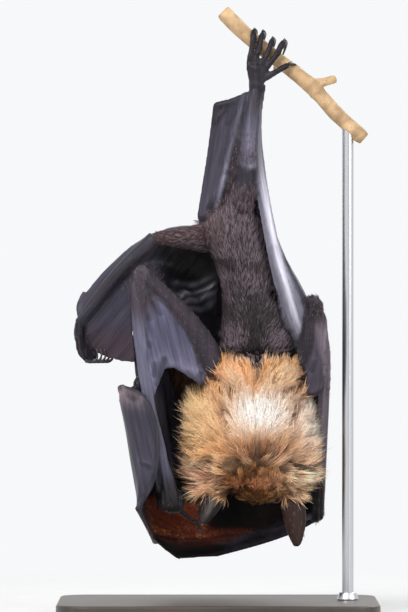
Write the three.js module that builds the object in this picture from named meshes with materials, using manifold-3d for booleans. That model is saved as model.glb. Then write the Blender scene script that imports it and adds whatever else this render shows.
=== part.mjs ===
// A fruit bat (flying fox) asleep at its roost, life size, with the perch it hangs from and a plain
// display stand. Millimetres, +Z up. The origin is the middle of the underside of the stand's base.
// The bat hangs head down by its left foot with its back towards -Y. Its left wing, on +X, wraps
// round its front like a cloak, and its right wing, on -X, is folded inside that cloak.
import * as THREE from 'three';
import { mergeVertices } from 'three/addons/utils/BufferGeometryUtils.js';
import Module from 'manifold-3d';

const wasm = await Module();
wasm.setup();

// ---- driving dimensions -------------------------------------------------------------------------
const GAP = 0.36; // room left between two pieces that touch
const BASE_WIDTH = 224; // stand base along X
const BASE_DEPTH = 164; // stand base along Y
const BASE_HEIGHT = 12;
const BASE_CORNER = 22; // radius of the base's corners
const BASE_EDGE = 1.5; // chamfer round the base
const ROD_RADIUS = 4;
const ROD_X = 91;
const COLLAR_HEIGHT = 5; // where the rod meets the base
const PERCH_Y = 6; // the perch runs in this plane
const PERCH_RADIUS = 5.3;
const MEMBRANE = 1.1; // thickness of a wing membrane
const WEB_INSET = 2.8; // from the line of a digit to the edge of the skin beside it
const WEB_TAPER = 0.68; // share of that inset left at the digit's tip
const MOST_INSET = 0.25; // share of a short row that an inset may take
const EAR_THICKNESS = 1.3;
const ELBOW_RADIUS = 6.8;
const KNUCKLE = 1.3; // radius of a knuckle, as a share of the bone's
const CLAW_RADIUS = 1.35;
const EYE_RADIUS = 5.8;
const EYE_SPREAD = 16.6; // from the middle of the head to the middle of an eye
const EYE_FORWARD = 15; // in front of the middle of the brain case
const EYE_UP = 3.5;
const HEAD_CENTRE = [26.5, 1, 97];
const MUZZLE_WAY = [0.02, 0.94, -0.34]; // where the nose points
const EAR_LINE = [0.966, 0, -0.259]; // from the right ear to the left one

// Joints of the skeleton.
const SHOULDER = { left: [48, 8, 150], right: [4, -2, 160] };
const ELBOW = { left: [66, -27, 220.6], right: [-53, -21, 240.5] };
const WRIST = { left: [70, 37, 72], right: [-32, -2, 81] };
const HIP = { left: [14, -3, 277], right: [-2, 0, 266] };
const KNEE = { left: [21, -13, 315], right: [-44, -9, 265.5] };
const ANKLE = { left: [26, -3, 369], right: [-97, -1, 206] };

// ---- finishes -----------------------------------------------------------------------------------
const finish = (color, roughness) => () =>
  new THREE.MeshStandardMaterial({ color, roughness, metalness: 0 });
const BACK_FUR = finish('#3a2f31', 0.9);
const MANTLE_FUR = finish('#c69a66', 0.95);
const CROWN_FUR = finish('#6b452b', 0.9);
const WING_SKIN = finish('#3a3a44', 0.55);
const LIMB_SKIN = finish('#35333c', 0.6);
const EAR_SKIN = finish('#4a3631', 0.6);
const HORN = finish('#17151a', 0.35);
const EYE = finish('#2a160c', 0.1);
const BARK = finish('#b88d5e', 0.85);
const STAND_WOOD = finish('#2b2623', 0.5);
const STAND_STEEL = finish('#8d9094', 0.35);

// ---- solids -------------------------------------------------------------------------------------
const vec = (p) => new THREE.Vector3(...p);
const mix = (a, b, t) => vec(a).lerp(vec(b), t).toArray();
const shifted = (p, d) => p.map((value, i) => value + d[i]);
const smooth = (points) =>
  new THREE.CatmullRomCurve3(points.map(vec), false, 'centripetal');

// A closed solid through rings of points, all with the same number of points, capped at both ends.
function loft(rings) {
  const count = rings[0].length;
  const positions = rings.flat().flatMap((p) => [p.x, p.y, p.z]);
  const index = [];
  for (let r = 0; r + 1 < rings.length; r++) {
    for (let k = 0; k < count; k++) {
      const a = r * count + k;
      const b = r * count + ((k + 1) % count);
      index.push(a, b, b + count, a, b + count, a + count);
    }
  }
  const cap = (ring, first, turned) => {
    const middle = ring.reduce((sum, p) => sum.add(p), new THREE.Vector3());
    middle.divideScalar(count);
    const centre = positions.length / 3;
    positions.push(middle.x, middle.y, middle.z);
    for (let k = 0; k < count; k++) {
      const a = first + k;
      const b = first + ((k + 1) % count);
      index.push(centre, ...(turned ? [b, a] : [a, b]));
    }
  };
  cap(rings[0], 0, true);
  cap(rings.at(-1), (rings.length - 1) * count, false);
  const geometry = new THREE.BufferGeometry();
  geometry.setAttribute('position', new THREE.Float32BufferAttribute(positions, 3));
  geometry.setIndex(index);
  return geometry;
}

// A closed geometry as a manifold solid, turned the right way out.
function solid(geometry) {
  const bare = geometry.clone();
  bare.deleteAttribute('normal');
  bare.deleteAttribute('uv');
  const merged = mergeVertices(bare, 1e-4);
  const make = (triVerts) =>
    new wasm.Manifold(
      new wasm.Mesh({
        numProp: 3,
        vertProperties: new Float32Array(merged.attributes.position.array),
        triVerts,
      }),
    );
  const made = make(new Uint32Array(merged.index.array));
  if (made.volume() > 0) return made;
  return make(new Uint32Array(merged.index.array).reverse());
}

function geometryOf(made) {
  const mesh = made.getMesh();
  const geometry = new THREE.BufferGeometry();
  geometry.setAttribute('position', new THREE.BufferAttribute(mesh.vertProperties, 3));
  geometry.setIndex(new THREE.BufferAttribute(mesh.triVerts, 1));
  return geometry;
}

// The solid pushed out by GAP all round: what a neighbour is cut with.
function grown(made) {
  const geometry = mergeVertices(geometryOf(made), 1e-4);
  geometry.computeVertexNormals();
  const { position, normal } = geometry.attributes;
  for (let i = 0; i < position.count; i++) {
    const p = new THREE.Vector3().fromBufferAttribute(position, i);
    p.addScaledVector(new THREE.Vector3().fromBufferAttribute(normal, i), GAP);
    position.setXYZ(i, p.x, p.y, p.z);
  }
  return solid(geometry);
}

const along = (line, share) => smooth(line).getPoint(share).toArray();
const join = (solids) => solids.reduce((sum, next) => sum.add(next));

// A limb: round or oval sections along a smooth curve. A radius is one number, or two for an oval
// that is wide along `across`.
function limb(points, radii, { sides = 8, steps = 6, across = [1, 0, 0] } = {}) {
  const curve = smooth(points);
  const sizes = radii.map((r) => (Array.isArray(r) ? r : [r, r]));
  const sizeAt = (t, i) => {
    const place = t * (sizes.length - 1);
    const low = Math.min(Math.floor(place), sizes.length - 2);
    return THREE.MathUtils.lerp(sizes[low][i], sizes[low + 1][i], place - low);
  };
  const rings = [];
  for (let s = 0; s <= steps; s++) {
    const t = s / steps;
    const along = curve.getTangent(t);
    const side = vec(across).addScaledVector(along, -along.dot(vec(across))).normalize();
    const other = along.clone().cross(side);
    const centre = curve.getPoint(t);
    rings.push(
      Array.from({ length: sides }, (_, k) => {
        const turn = (2 * Math.PI * k) / sides;
        return centre
          .clone()
          .addScaledVector(side, sizeAt(t, 0) * Math.cos(turn))
          .addScaledVector(other, sizeAt(t, 1) * Math.sin(turn));
      }),
    );
  }
  return solid(loft(rings));
}

function ball(centre, radius, width, height) {
  return solid(new THREE.SphereGeometry(radius, width, height).translate(...centre));
}

// A jointed digit: bones, each a line of two or more points, with a knuckle at each joint. It
// tapers evenly from its root to its tip.
function digit(bones, thick) {
  const radiusAt = (place) => thick * (1 - (0.5 * place) / bones.length);
  const lengths = bones.map((points, i) => {
    const bent = points.length > 2;
    const line = bent ? points : [points[0], mix(points[0], points[1], 0.5), points[1]];
    const steps = bent ? points.length : 2;
    const radii = [radiusAt(i), radiusAt(i + 0.5) * 0.9, radiusAt(i + 1)];
    return limb(line, radii, { sides: 5, steps, across: [0.3, 1, 0.2] });
  });
  const knuckles = bones.slice(1).map(([p], i) => ball(p, radiusAt(i + 1) * KNUCKLE, 5, 4));
  return [...lengths, ...knuckles];
}

const claw = (points, radius = CLAW_RADIUS) =>
  limb(points, [radius, radius * 0.8, radius * 0.5, 0.22], { sides: 4, steps: 3, across: [0, 0.2, 1] });

// A body part as a stack of rounded level slices. Each slice has its height z, the middle x, the
// half width, and how far it reaches to the back and to the belly.
function stack(slices, { sides = 12, steps = 7 } = {}) {
  const track = (key) =>
    smooth(slices.map((slice, i) => [i, slice[key], 0]));
  const keys = ['z', 'x', 'half', 'back', 'belly'];
  const tracks = Object.fromEntries(keys.map((key) => [key, track(key)]));
  const rings = [];
  for (let s = 0; s <= steps; s++) {
    const at = Object.fromEntries(keys.map((key) => [key, tracks[key].getPoint(s / steps).y]));
    const middle = (at.belly + at.back) / 2;
    const deep = (at.belly - at.back) / 2;
    rings.push(
      Array.from({ length: sides }, (_, k) => {
        const turn = (2 * Math.PI * k) / sides;
        return new THREE.Vector3(
          at.x + at.half * Math.cos(turn),
          middle + deep * Math.sin(turn),
          at.z,
        );
      }),
    );
  }
  return solid(loft(rings));
}

// A membrane: a skin of even thickness through rows of points, smooth both along and across. Each
// row stops short of its first and last point by the two insets, where bones run. The insets shrink
// evenly to `taper` times themselves at the last row, as the bones do.
function membrane(
  rows,
  { across = 6, along = 8, thickness = MEMBRANE, inset = [0, 0], taper = 1 } = {},
) {
  const lines = rows.map(smooth);
  const placeOn = (line, share, r) => {
    const length = line.getLength();
    const shrink = THREE.MathUtils.lerp(1, taper, r / (rows.length - 1));
    const start = Math.min(inset[0] * shrink, length * MOST_INSET);
    const end = length - Math.min(inset[1] * shrink, length * MOST_INSET);
    return line.getPointAt(THREE.MathUtils.lerp(start, end, share) / length).toArray();
  };
  const grid = [];
  for (let j = 0; j <= across; j++) {
    const line = smooth(lines.map((row, r) => placeOn(row, j / across, r)));
    grid.push(Array.from({ length: along + 1 }, (_, i) => line.getPoint(i / along)));
  }
  const normalAt = (j, i) => {
    const u = grid[Math.min(j + 1, across)][i].clone().sub(grid[Math.max(j - 1, 0)][i]);
    const v = grid[j][Math.min(i + 1, along)].clone().sub(grid[j][Math.max(i - 1, 0)]);
    return u.cross(v).normalize();
  };
  const side = (sign) =>
    grid.map((column, j) =>
      column.map((p, i) => p.clone().addScaledVector(normalAt(j, i), (sign * thickness) / 2)),
    );
  const upper = side(1);
  const lower = side(-1);
  const rings = upper.map((column, j) => [...column, ...lower[j].slice().reverse()]);
  return solid(loftStrip(rings, along + 1));
}

// Closes a run of flattened rings, whose first `half` points lie on one face and whose others lie
// on the other face in turn, and caps the two ends with strips. Both faces are split along the same
// diagonals, so that they stay apart.
function loftStrip(rings, half) {
  const count = rings[0].length;
  const positions = rings.flat().flatMap((p) => [p.x, p.y, p.z]);
  const index = [];
  for (let r = 0; r + 1 < rings.length; r++) {
    for (let k = 0; k < count; k++) {
      const a = r * count + k;
      const b = r * count + ((k + 1) % count);
      const [c, d] = [b + count, a + count];
      index.push(...(k < half ? [a, b, c, a, c, d] : [a, b, d, b, c, d]));
    }
  }
  const strip = (first, turned) => {
    for (let k = 0; k + 1 < half; k++) {
      const a = first + k;
      const b = first + k + 1;
      const c = first + count - 2 - k;
      const d = first + count - 1 - k;
      index.push(...(turned ? [a, c, b, a, d, c] : [a, b, c, a, c, d]));
    }
  };
  strip(0, true);
  strip((rings.length - 1) * count, false);
  const geometry = new THREE.BufferGeometry();
  geometry.setAttribute('position', new THREE.Float32BufferAttribute(positions, 3));
  geometry.setIndex(index);
  return geometry;
}

// ---- placing pieces -----------------------------------------------------------------------------
const bat = new THREE.Group();
const placed = [];

const touching = (a, b) =>
  [0, 1, 2].every((i) => a.min[i] <= b.max[i] && b.min[i] <= a.max[i]);

// Adds a piece, made of one solid or of several that join, as a named mesh. It is cut clear of the
// pieces placed before it, and only its main body is kept.
function place(name, shape, material) {
  const solids = [shape].flat();
  const made = join(solids);
  const box = made.boundingBox();
  let rest = made;
  for (const other of placed) {
    if (touching(box, other.box)) rest = rest.subtract(other.cutter);
  }
  const main = rest.decompose().reduce((a, b) => (a.volume() > b.volume() ? a : b));
  const cutter = join(solids.map(grown));
  placed.push({ cutter, box: cutter.boundingBox() });
  const geometry = geometryOf(main);
  geometry.computeVertexNormals();
  const mesh = new THREE.Mesh(geometry, material());
  mesh.name = name;
  bat.add(mesh);
}

// ---- stand and perch ----------------------------------------------------------------------------
const PERCH_LINE = [
  [4, PERCH_Y, 424],
  [20.5, PERCH_Y, 407],
  [47, PERCH_Y, 386.7],
  [67, PERCH_Y, 371],
  [79, PERCH_Y, 356],
  [102, PERCH_Y, 335.5],
];

function perch() {
  const radii = [1.12, 1.04, 0.96, 1.08, 0.98, 1].map((r) => r * PERCH_RADIUS);
  const branch = limb(PERCH_LINE, radii, { sides: 6, steps: 7, across: [0, 1, 0] });
  const twig = [mix(PERCH_LINE[3], PERCH_LINE[2], 0.1), [74, PERCH_Y + 1, 375], [82, PERCH_Y + 2, 377]];
  const spur = [[44, PERCH_Y, 389], [42, PERCH_Y + 7, 387], [41, PERCH_Y + 10, 384]];
  return [
    branch,
    limb(twig, [4.2, 3, 2.6], { sides: 5, steps: 2, across: [0, 1, 0] }),
    limb(spur, [3, 2.4, 2], { sides: 5, steps: 2 }),
  ];
}

function standBase() {
  const width = BASE_WIDTH / 2 - BASE_EDGE;
  const depth = BASE_DEPTH / 2 - BASE_EDGE;
  const corner = BASE_CORNER - BASE_EDGE;
  const outline = new THREE.Shape();
  outline.absarc(width - corner, depth - corner, corner, 0, Math.PI / 2);
  outline.absarc(-width + corner, depth - corner, corner, Math.PI / 2, Math.PI);
  outline.absarc(-width + corner, -depth + corner, corner, Math.PI, 1.5 * Math.PI);
  outline.absarc(width - corner, -depth + corner, corner, 1.5 * Math.PI, 2 * Math.PI);
  const plate = new THREE.ExtrudeGeometry(outline, {
    depth: BASE_HEIGHT - 2 * BASE_EDGE,
    bevelThickness: BASE_EDGE,
    bevelSize: BASE_EDGE,
    bevelSegments: 1,
    curveSegments: 2,
  });
  return solid(plate.translate(0, 0, BASE_EDGE));
}

function standRod() {
  const top = PERCH_LINE[4][2];
  const rod = new THREE.CylinderGeometry(ROD_RADIUS, ROD_RADIUS, top - BASE_HEIGHT, 8);
  const collar = new THREE.CylinderGeometry(ROD_RADIUS * 1.5, ROD_RADIUS * 2, COLLAR_HEIGHT, 8);
  const upright = (g, z) => solid(g.rotateX(Math.PI / 2).translate(ROD_X, PERCH_Y, z));
  return [
    upright(rod, (top + BASE_HEIGHT) / 2 + GAP),
    upright(collar, BASE_HEIGHT + COLLAR_HEIGHT / 2 + GAP),
  ];
}

// ---- head ---------------------------------------------------------------------------------------
// The head's own frame: x from its right ear to its left one, y along the muzzle, z to the crown.
const headFrame = (() => {
  const x = vec(EAR_LINE).normalize();
  const y = vec(MUZZLE_WAY);
  y.addScaledVector(x, -x.dot(y)).normalize();
  const z = x.clone().cross(y).negate();
  return new THREE.Matrix4().makeBasis(x, y, z).setPosition(...HEAD_CENTRE);
})();
const onHead = (p) => vec(p).applyMatrix4(headFrame).toArray();

function head() {
  // Sections from the back of the skull to the nose: place, half width, height of the middle,
  // and half height, each out to the tips of the fur.
  const sections = [
    [-26, 12, 0, 10],
    [-16, 23.5, 0, 20],
    [1, 24.5, -0.5, 20.5],
    [13, 20, -2.5, 17.5],
    [23, 15.4, -4.6, 14.2],
    [36, 11.4, -6.2, 11.6],
    [49, 9.2, -6.5, 9.6],
    [53.5, 5.5, -6, 6],
  ];
  const sides = 12;
  const rings = sections.map(([y, half, middle, tall]) =>
    Array.from({ length: sides }, (_, k) => {
      const turn = (2 * Math.PI * k) / sides;
      return vec(onHead([half * Math.cos(turn), y, middle + tall * Math.sin(turn)]));
    }),
  );
  return solid(loft(rings));
}

const eyeCentre = (side) => onHead([side * EYE_SPREAD, EYE_FORWARD, EYE_UP]);

// An ear: a leaf-shaped shell, widest near its base and cupped towards the muzzle.
function ear(base, tip, wide, cup) {
  const shares = [0.78, 1, 0.94, 0.68, 0.26]; // widths from base to tip
  const rows = shares.map((share, i) => {
    const middle = mix(base, tip, i / (shares.length - 1));
    const out = wide.map((w) => w * share);
    const deep = cup.map((c) => c * share);
    return [
      shifted(shifted(middle, out.map((w) => -w)), deep),
      shifted(middle, out.map((w) => -w * 0.55)),
      shifted(middle, deep.map((c) => -c * 0.35)),
      shifted(middle, out.map((w) => w * 0.55)),
      shifted(shifted(middle, out), deep),
    ];
  });
  return membrane(rows, { across: 4, along: 5, thickness: EAR_THICKNESS });
}

// ---- trunk and neck -----------------------------------------------------------------------------
const trunk = () =>
  stack([
    { z: 291, x: 13, half: 8, back: -11, belly: 6 },
    { z: 286, x: 12, half: 16, back: -16, belly: 12 },
    { z: 275, x: 10, half: 24, back: -20, belly: 18 },
    { z: 262, x: 14, half: 25, back: -23, belly: 22 },
    { z: 249, x: 18.5, half: 22.5, back: -25, belly: 24 },
    { z: 235, x: 22.5, half: 22, back: -26, belly: 26 },
    { z: 221, x: 25, half: 22.7, back: -27, belly: 27 },
    { z: 207, x: 26.5, half: 25.5, back: -28, belly: 28 },
    { z: 194, x: 28, half: 29, back: -28, belly: 29 },
    { z: 185, x: 29, half: 29, back: -26, belly: 27 },
  ]);

const neck = () =>
  stack([
    { z: 184.6, x: 29, half: 29, back: -26, belly: 27 },
    { z: 176, x: 29, half: 31, back: -31, belly: 28 },
    { z: 165, x: 27, half: 35, back: -33, belly: 29 },
    { z: 154, x: 22.5, half: 42, back: -29, belly: 29 },
    { z: 141, x: 22.5, half: 46.5, back: -33, belly: 29 },
    { z: 126, x: 23, half: 47.5, back: -37, belly: 28 },
    { z: 111, x: 24, half: 47, back: -36, belly: 26 },
    { z: 98, x: 24.5, half: 48, back: -30, belly: 18 },
    { z: 89, x: 26, half: 43, back: -23, belly: 8 },
    { z: 84, x: 27, half: 32, back: -15, belly: 1 },
  ]);

// ---- legs ---------------------------------------------------------------------------------------
function thigh(side) {
  const radii = side === 'left' ? [15, 12.5, 8.6, 6.6] : [13, 11, 8, 6.4];
  const points = [0, 0.3, 0.7, 1].map((share) => mix(HIP[side], KNEE[side], share));
  return limb(points, radii, { sides: 7, steps: 4 });
}

function shank(side) {
  const bow = side === 'left' ? [-1.5, -1, 0] : [-2, -2, 3];
  const middle = shifted(mix(KNEE[side], ANKLE[side], 0.5), bow);
  return limb([KNEE[side], middle, ANKLE[side]], [6.3, 5.2, 4.7, 4.4, 4.1], { sides: 6, steps: 4 });
}

// The gripping foot: toes one to four pass in front of the perch and over it, and the fifth, the
// outermost, hooks it from below. Each toe has its root, its knuckle and its tip.
const GRIP_TOES = [
  [[21.2, -4, 385], [23.6, -3, 400], [25.6, 2, 411.6]],
  [[25.2, -4.5, 386], [29.4, -3.4, 400.5], [31.6, 2, 410.4]],
  [[29.2, -4.5, 385], [35.4, -3.2, 396.5], [38.4, 2, 405.6]],
  [[32.2, -4, 382], [41, -4.2, 393.5], [46.5, -0.4, 404]],
  [[29.5, -4, 376], [40.5, -4, 381.5], [49.5, -2.4, 387]],
];
const GRIP_CLAW = [[0, 0, 0], [1.6, 6.8, -1.2], [0.6, 11.2, -6], [-2, 12, -12]];
const GRIP_CLAW_LOW = [[0, 0, 0], [3.6, 3, 1], [5.6, 8, -1], [4.5, 12.6, -4.5]];

// The hanging foot: five toes side by side, curled towards +X.
const LIMP_TOES = [0, 1, 2, 3, 4].map((i) => {
  const root = [-98 + 1.4 * i, -6.6 + 3.3 * i, 197];
  const curl = 2.7 * i;
  return [root, [-97.5 + curl, -7.8 + 3.9 * i, 186.5], [-92.5 + curl, -7.8 + 3.9 * i, 180]];
});
const TOE_RADII = {
  left: [[1.8, 2.1, 2.3], [1.8, 2.1, 2.3], [1.8, 2.1, 2.3], [1.9, 2.3, 2.9], [2.2, 2.6, 2.5]],
  right: Array(5).fill([1.9, 2.1, 1.9]),
};
const LIMP_CLAW = [[0, 0, 0], [5, 0, -1.6], [9, 0, 1.6], [7.6, 0, 8]];

function foot(side) {
  const toes = side === 'left' ? GRIP_TOES : LIMP_TOES;
  const ankle = ANKLE[side];
  const instep = side === 'left' ? [27, -4.6, 386] : [-97.2, -0.2, 195];
  const wide = side === 'left' ? [1, 0, -0.4] : [0.2, 1, 0];
  const line = [ankle, mix(ankle, instep, 0.5), instep];
  const sole = limb(line, [[4.4, 4], [5.4, 3.7], [7.6, 3.5]], { sides: 6, steps: 2, across: wide });
  const steps = side === 'left' ? 3 : 2;
  return [sole, ...toes.map((toe, i) => limb(toe, TOE_RADII[side][i], { sides: 5, steps }))];
}

function footClaw(side, i) {
  const tip = (side === 'left' ? GRIP_TOES : LIMP_TOES)[i].at(-1);
  const gripping = i === 4 ? GRIP_CLAW_LOW : GRIP_CLAW;
  return claw((side === 'left' ? gripping : LIMP_CLAW).map((d) => shifted(tip, d)));
}

// The narrow skin on the inner side of a leg, held out by the calcar, a spur at the ankle.
function tailSkin(side) {
  if (side === 'left') {
    const spur = digit([[[24, -2, 366], [11, -2, 360.5], [-1.2, -1, 358.3]]], 1.6);
    return [
      ...spur,
      membrane([
        [[22, -3, 367], [10, -2, 361], [-1.2, -1, 358.3]],
        [[19, -8, 342], [7, -3, 342], [-3.5, -1, 342]],
        [[17, -11, 322], [4, -4, 320], [-6.6, -1, 318]],
        [[12, -9, 300], [1, -5, 298], [-9.8, -2, 297]],
        [[4, -8, 280], [-4, -6, 279], [-13, -4, 277.5]],
      ], { across: 2, along: 5, inset: [2.5, 0] }),
    ];
  }
  const spur = digit([[[-95, 3, 208], [-98.5, 7, 217], [-94, 9, 227]]], 1.5);
  return [
    ...spur,
    membrane([
      [[-94, 3, 209], [-97, 6, 213], [-98, 8, 219]],
      [[-82, 0, 226], [-85, 4, 229], [-87, 7, 232]],
      [[-64, -2, 248], [-65, 4, 253], [-66, 8, 256]],
      [[-44, -2, 266], [-42, 6, 270.5], [-40, 11, 272]],
      [[-18, 2, 270], [-16, 10, 274], [-14, 15, 274]],
    ], { across: 2, along: 5 }),
  ];
}

// ---- wing bones ---------------------------------------------------------------------------------
const upperArmLine = (side) => {
  const lift = side === 'left' ? [3, -4, -2] : [7, -4, 5];
  return [SHOULDER[side], shifted(mix(SHOULDER[side], ELBOW[side], 0.5), lift), ELBOW[side]];
};

function upperArm(side) {
  const radii = side === 'left' ? [9.5, 7.6, 6, 4.8, 5.4] : [11, 9.6, 7.8, 5.6, 5.4];
  return limb(upperArmLine(side), radii, { sides: 7, steps: 4 });
}

const FOREARM = {
  left: [ELBOW.left, [74, -17, 189], [73.7, 9, 131], WRIST.left],
  right: [ELBOW.right, [-56.5, -18, 212], [-47.5, -10, 146], WRIST.right],
};

// The wrist bones under their skin: a rounded block at the end of the forearm.
const CARPUS = {
  left: [[70.5, 32, 76], [69.5, 37, 71.5], [66, 41, 68]],
  right: [[-24, 1, 79.5], [-33, -1, 82], [-42, -1.5, 85]],
};

const CARPUS_RADII = { left: [4.5, 7.4, 5], right: [7.6, 11, 8] };

const forearm = (side) => [
  ball(ELBOW[side], ELBOW_RADIUS, 6, 4),
  limb(FOREARM[side], [5.6, 6.4, 4.8, 4.2, 4.2, 5], { sides: 6, steps: 4 }),
  limb(CARPUS[side], CARPUS_RADII[side], { sides: 6, steps: 4, across: [0, 0.3, 1] }),
];

// The digits from the wrist on, each as its bones in turn. The left ones run round the front of the
// cloak, and the right ones lie along the forearm and fold back.
const LEFT_TIP = [[-44, -22, 143], [-53, -17.5, 158], [-64, -9, 161]]; // of the third digit
const LEFT_JOINTS = {
  second: [0, 66, 41.6],
  third: [[-44.5, 49.5, 51.5], [-56, -22, 77]],
  fourth: [[-30, 61, 90], [-61, 25, 122]],
  fifth: [[4, 66, 160], [-22, 60, 195]],
};
const DIGITS = {
  left: {
    2: [
      [[66, 39, 66], [47, 52.5, 55], LEFT_JOINTS.second],
      [LEFT_JOINTS.second, [-27, 63, 39.2]],
    ],
    3: [
      [[65, 41, 70], [44, 55, 60.5], [4, 64, 51.5], LEFT_JOINTS.third[0]],
      LEFT_JOINTS.third,
      [LEFT_JOINTS.third[1], [-43.5, -24.5, 97], [-41, -25, 118], ...LEFT_TIP],
    ],
    4: [
      [[66, 42, 75], [40, 54, 80], LEFT_JOINTS.fourth[0]],
      LEFT_JOINTS.fourth,
      [LEFT_JOINTS.fourth[1], [-66, 7, 154.5]],
    ],
    5: [
      [[69, 40, 78], [38, 56, 117], LEFT_JOINTS.fifth[0]],
      LEFT_JOINTS.fifth,
      [LEFT_JOINTS.fifth[1], [-42, 46, 225]],
    ],
  },
  right: {
    2: [[[-41, -5, 87], [-50.5, -9, 122], [-57.5, -9, 160]]],
    3: [
      [[-43, -1, 88], [-52.5, -2, 137], [-58.6, 0, 196]],
      [[-58.6, 0, 196], [-49, 15, 160], [-34, 27, 118]],
    ],
    4: [
      [[-38, 4, 88], [-45, 6.5, 137], [-52, 8, 193]],
      [[-52, 8, 193], [-40, 22, 152], [-27, 31, 112]],
    ],
    5: [
      [[-30, 6, 87], [-37, 12, 137], [-43, 16, 188]],
      [[-43, 16, 188], [-31, 28, 158], [-20, 35, 124]],
    ],
  },
};
const DIGIT_RADII = { 2: 2.1, 3: 2.3, 4: 2, 5: 2 };

const finger = (side, n) => digit(DIGITS[side][n], DIGIT_RADII[n]);

// The place at a share of a digit's length, counted in the points of its bones.
function onDigit(side, n, share) {
  const bones = DIGITS[side][n];
  let place = share * bones.reduce((sum, points) => sum + points.length - 1, 0);
  for (const points of bones) {
    const spans = points.length - 1;
    if (place <= spans || points === bones.at(-1)) return along(points, Math.min(place / spans, 1));
    place -= spans;
  }
}

const INDEX_CLAW = {
  left: [[-27, 63, 39.2], [-30.2, 62, 40.6], [-33.2, 60.6, 43.2], [-35, 59.4, 46.6]],
  right: [[-57.5, -9, 160], [-58.5, -9.5, 164], [-57.5, -10, 167.4], [-55, -10.5, 169]],
};

const THUMB = {
  left: [WRIST.left, [62, 31, 68.5], [55, 26, 64.5]],
  right: [WRIST.right, [-25, 8, 73], [-17, 14, 67]],
};
const THUMB_CLAW = {
  left: [[55, 26, 64.5], [51.5, 23.5, 61.5], [50.5, 20.5, 57.5], [52.5, 17.5, 54.5]],
  right: [[-17, 14, 67], [-13, 16.6, 64.4], [-11.6, 18.2, 60.6], [-13.4, 18, 57.4]],
};

// ---- wing membranes -----------------------------------------------------------------------------
// A row of three points between two places on the bones, its middle pushed out by `sag`.
const row = (a, b, sag = [0, 0, 0]) => [a, shifted(mix(a, b, 0.5), sag), b];

// Skin in front of the elbow, from the upper arm to the forearm, with a hollowed free edge.
function propatagium(side) {
  if (side === 'left') {
    return membrane([
      row([66.5, -26, 214], [69.6, -25, 212]),
      row([65, -24, 206], [72.6, -21.5, 203], [0, -2.5, 0]),
      row([63, -18, 193], [74.6, -16.5, 186], [0, -4, 0]),
      row([58, -9, 176], [74.8, -12, 174], [0, -7, -1]),
      row([54, -3, 160], [75, -9, 166], [4, -8, -7]),
    ], { across: 4, along: 4, inset: [4, 3] });
  }
  const arm = (share) => along(upperArmLine('right'), share);
  return membrane([
    row(arm(0.97), [-54.5, -20.5, 236]),
    row(arm(0.82), [-57, -18.5, 218], [0, -3, 0]),
    row(arm(0.6), [-55.5, -16, 197], [2, -6, 0]),
    row(arm(0.3), [-53, -13.5, 178], [1, -8, 3]),
    [[-3, -6, 160], [-14, -12.5, 166], [-26.5, -15.5, 175.5], [-37, -15, 178], [-45.5, -10.5, 154]],
  ], { across: 6, along: 5, inset: [4, 3] });
}

// Skin beside the body, from the flank and the leg out to the elbow: a long narrow flap.
const flankSkin = () =>
  membrane([
    row([27, -3, 372], [31.2, 0, 372]),
    row([25, -7, 350], [27.8, -1.5, 350]),
    row([24, -10, 331], [29.4, -3, 331]),
    row([25, -10, 313], [31.6, -5, 313]),
    row([29, -11, 292], [34.4, -8, 292]),
    row([32, -17, 275], [38.6, -12, 275], [0, -1, 0]),
    row([35, -20, 257], [42, -18, 257], [0, -2, 0]),
    row([38, -21, 243], [47, -23, 243], [0, -2, 0]),
    row([41, -22, 230], [54.5, -28, 229], [0, -1, 0]),
    row([46, -19, 208], [63, -24, 207], [0, 3, 0]),
    row([51, -13, 186], [60, -12, 186], [0, 2, 0]),
  ], { across: 2, along: 9 });

// The cloak's main skin: from the leg, elbow and forearm round the front to the fifth digit.
function bellySkin() {
  const fifth = (share) => onDigit('left', 5, share);
  return membrane([
    [[31.2, 0, 372], [29, 5, 372], [25, 7, 371]],
    [[27.8, -1.5, 350], [27, 9, 349], [17, 14, 346]],
    [[29.4, -3, 331], [25, 13, 329], [9, 22, 325]],
    [[31.6, -5, 313], [25, 20, 311], [2, 31, 305]],
    [[34.4, -8, 292], [27, 24, 290], [-5, 39, 284]],
    [[42, -18, 257], [35, 31, 255], [-28, 45, 248]],
    [[57, -29, 229], [63, 10, 226], [30, 53, 224], fifth(1)],
    [along(FOREARM.left, 0.33), [71, 26, 184], [46, 58, 178], fifth(0.62)],
    [along(FOREARM.left, 0.66), [70, 34, 132], [58, 52, 126], fifth(0.26)],
    [along(FOREARM.left, 0.9), [72, 38, 94], [68, 42, 92], fifth(0.1)],
    [along(FOREARM.left, 0.97), [71, 37.5, 82], [70, 39.5, 81.5], fifth(0.03)],
  ], { across: 6, along: 10, inset: [1.6, 2.4] });
}

// Skin of the folded wing, from the right flank and leg to the elbow and forearm, with a hollow.
const rightFlankSkin = () =>
  membrane([
    [[8, 4, 262], [2, 20, 240], [-2, 22, 216], [4, 6, 190]],
    [[-16, 4, 264], [-18, 20, 244], [-19, 16, 224], [-16, -5, 203]],
    [[-40, -4, 264], [-44, 2, 256], [-48, -6, 250], [-52, -16, 243]],
    [[-66, -6, 246], [-68, -2, 236], [-66, -8, 228], [-60, -15, 220]],
    [[-84, -4, 224], [-80, 2, 212], [-70, -4, 202], [-57, -12, 196]],
    [[-96, 0, 207], [-85, 2, 187], [-71, 1, 181.6], [-55, -8, 179]],
  ], { across: 5, along: 6, inset: [3, 4] });

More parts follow.
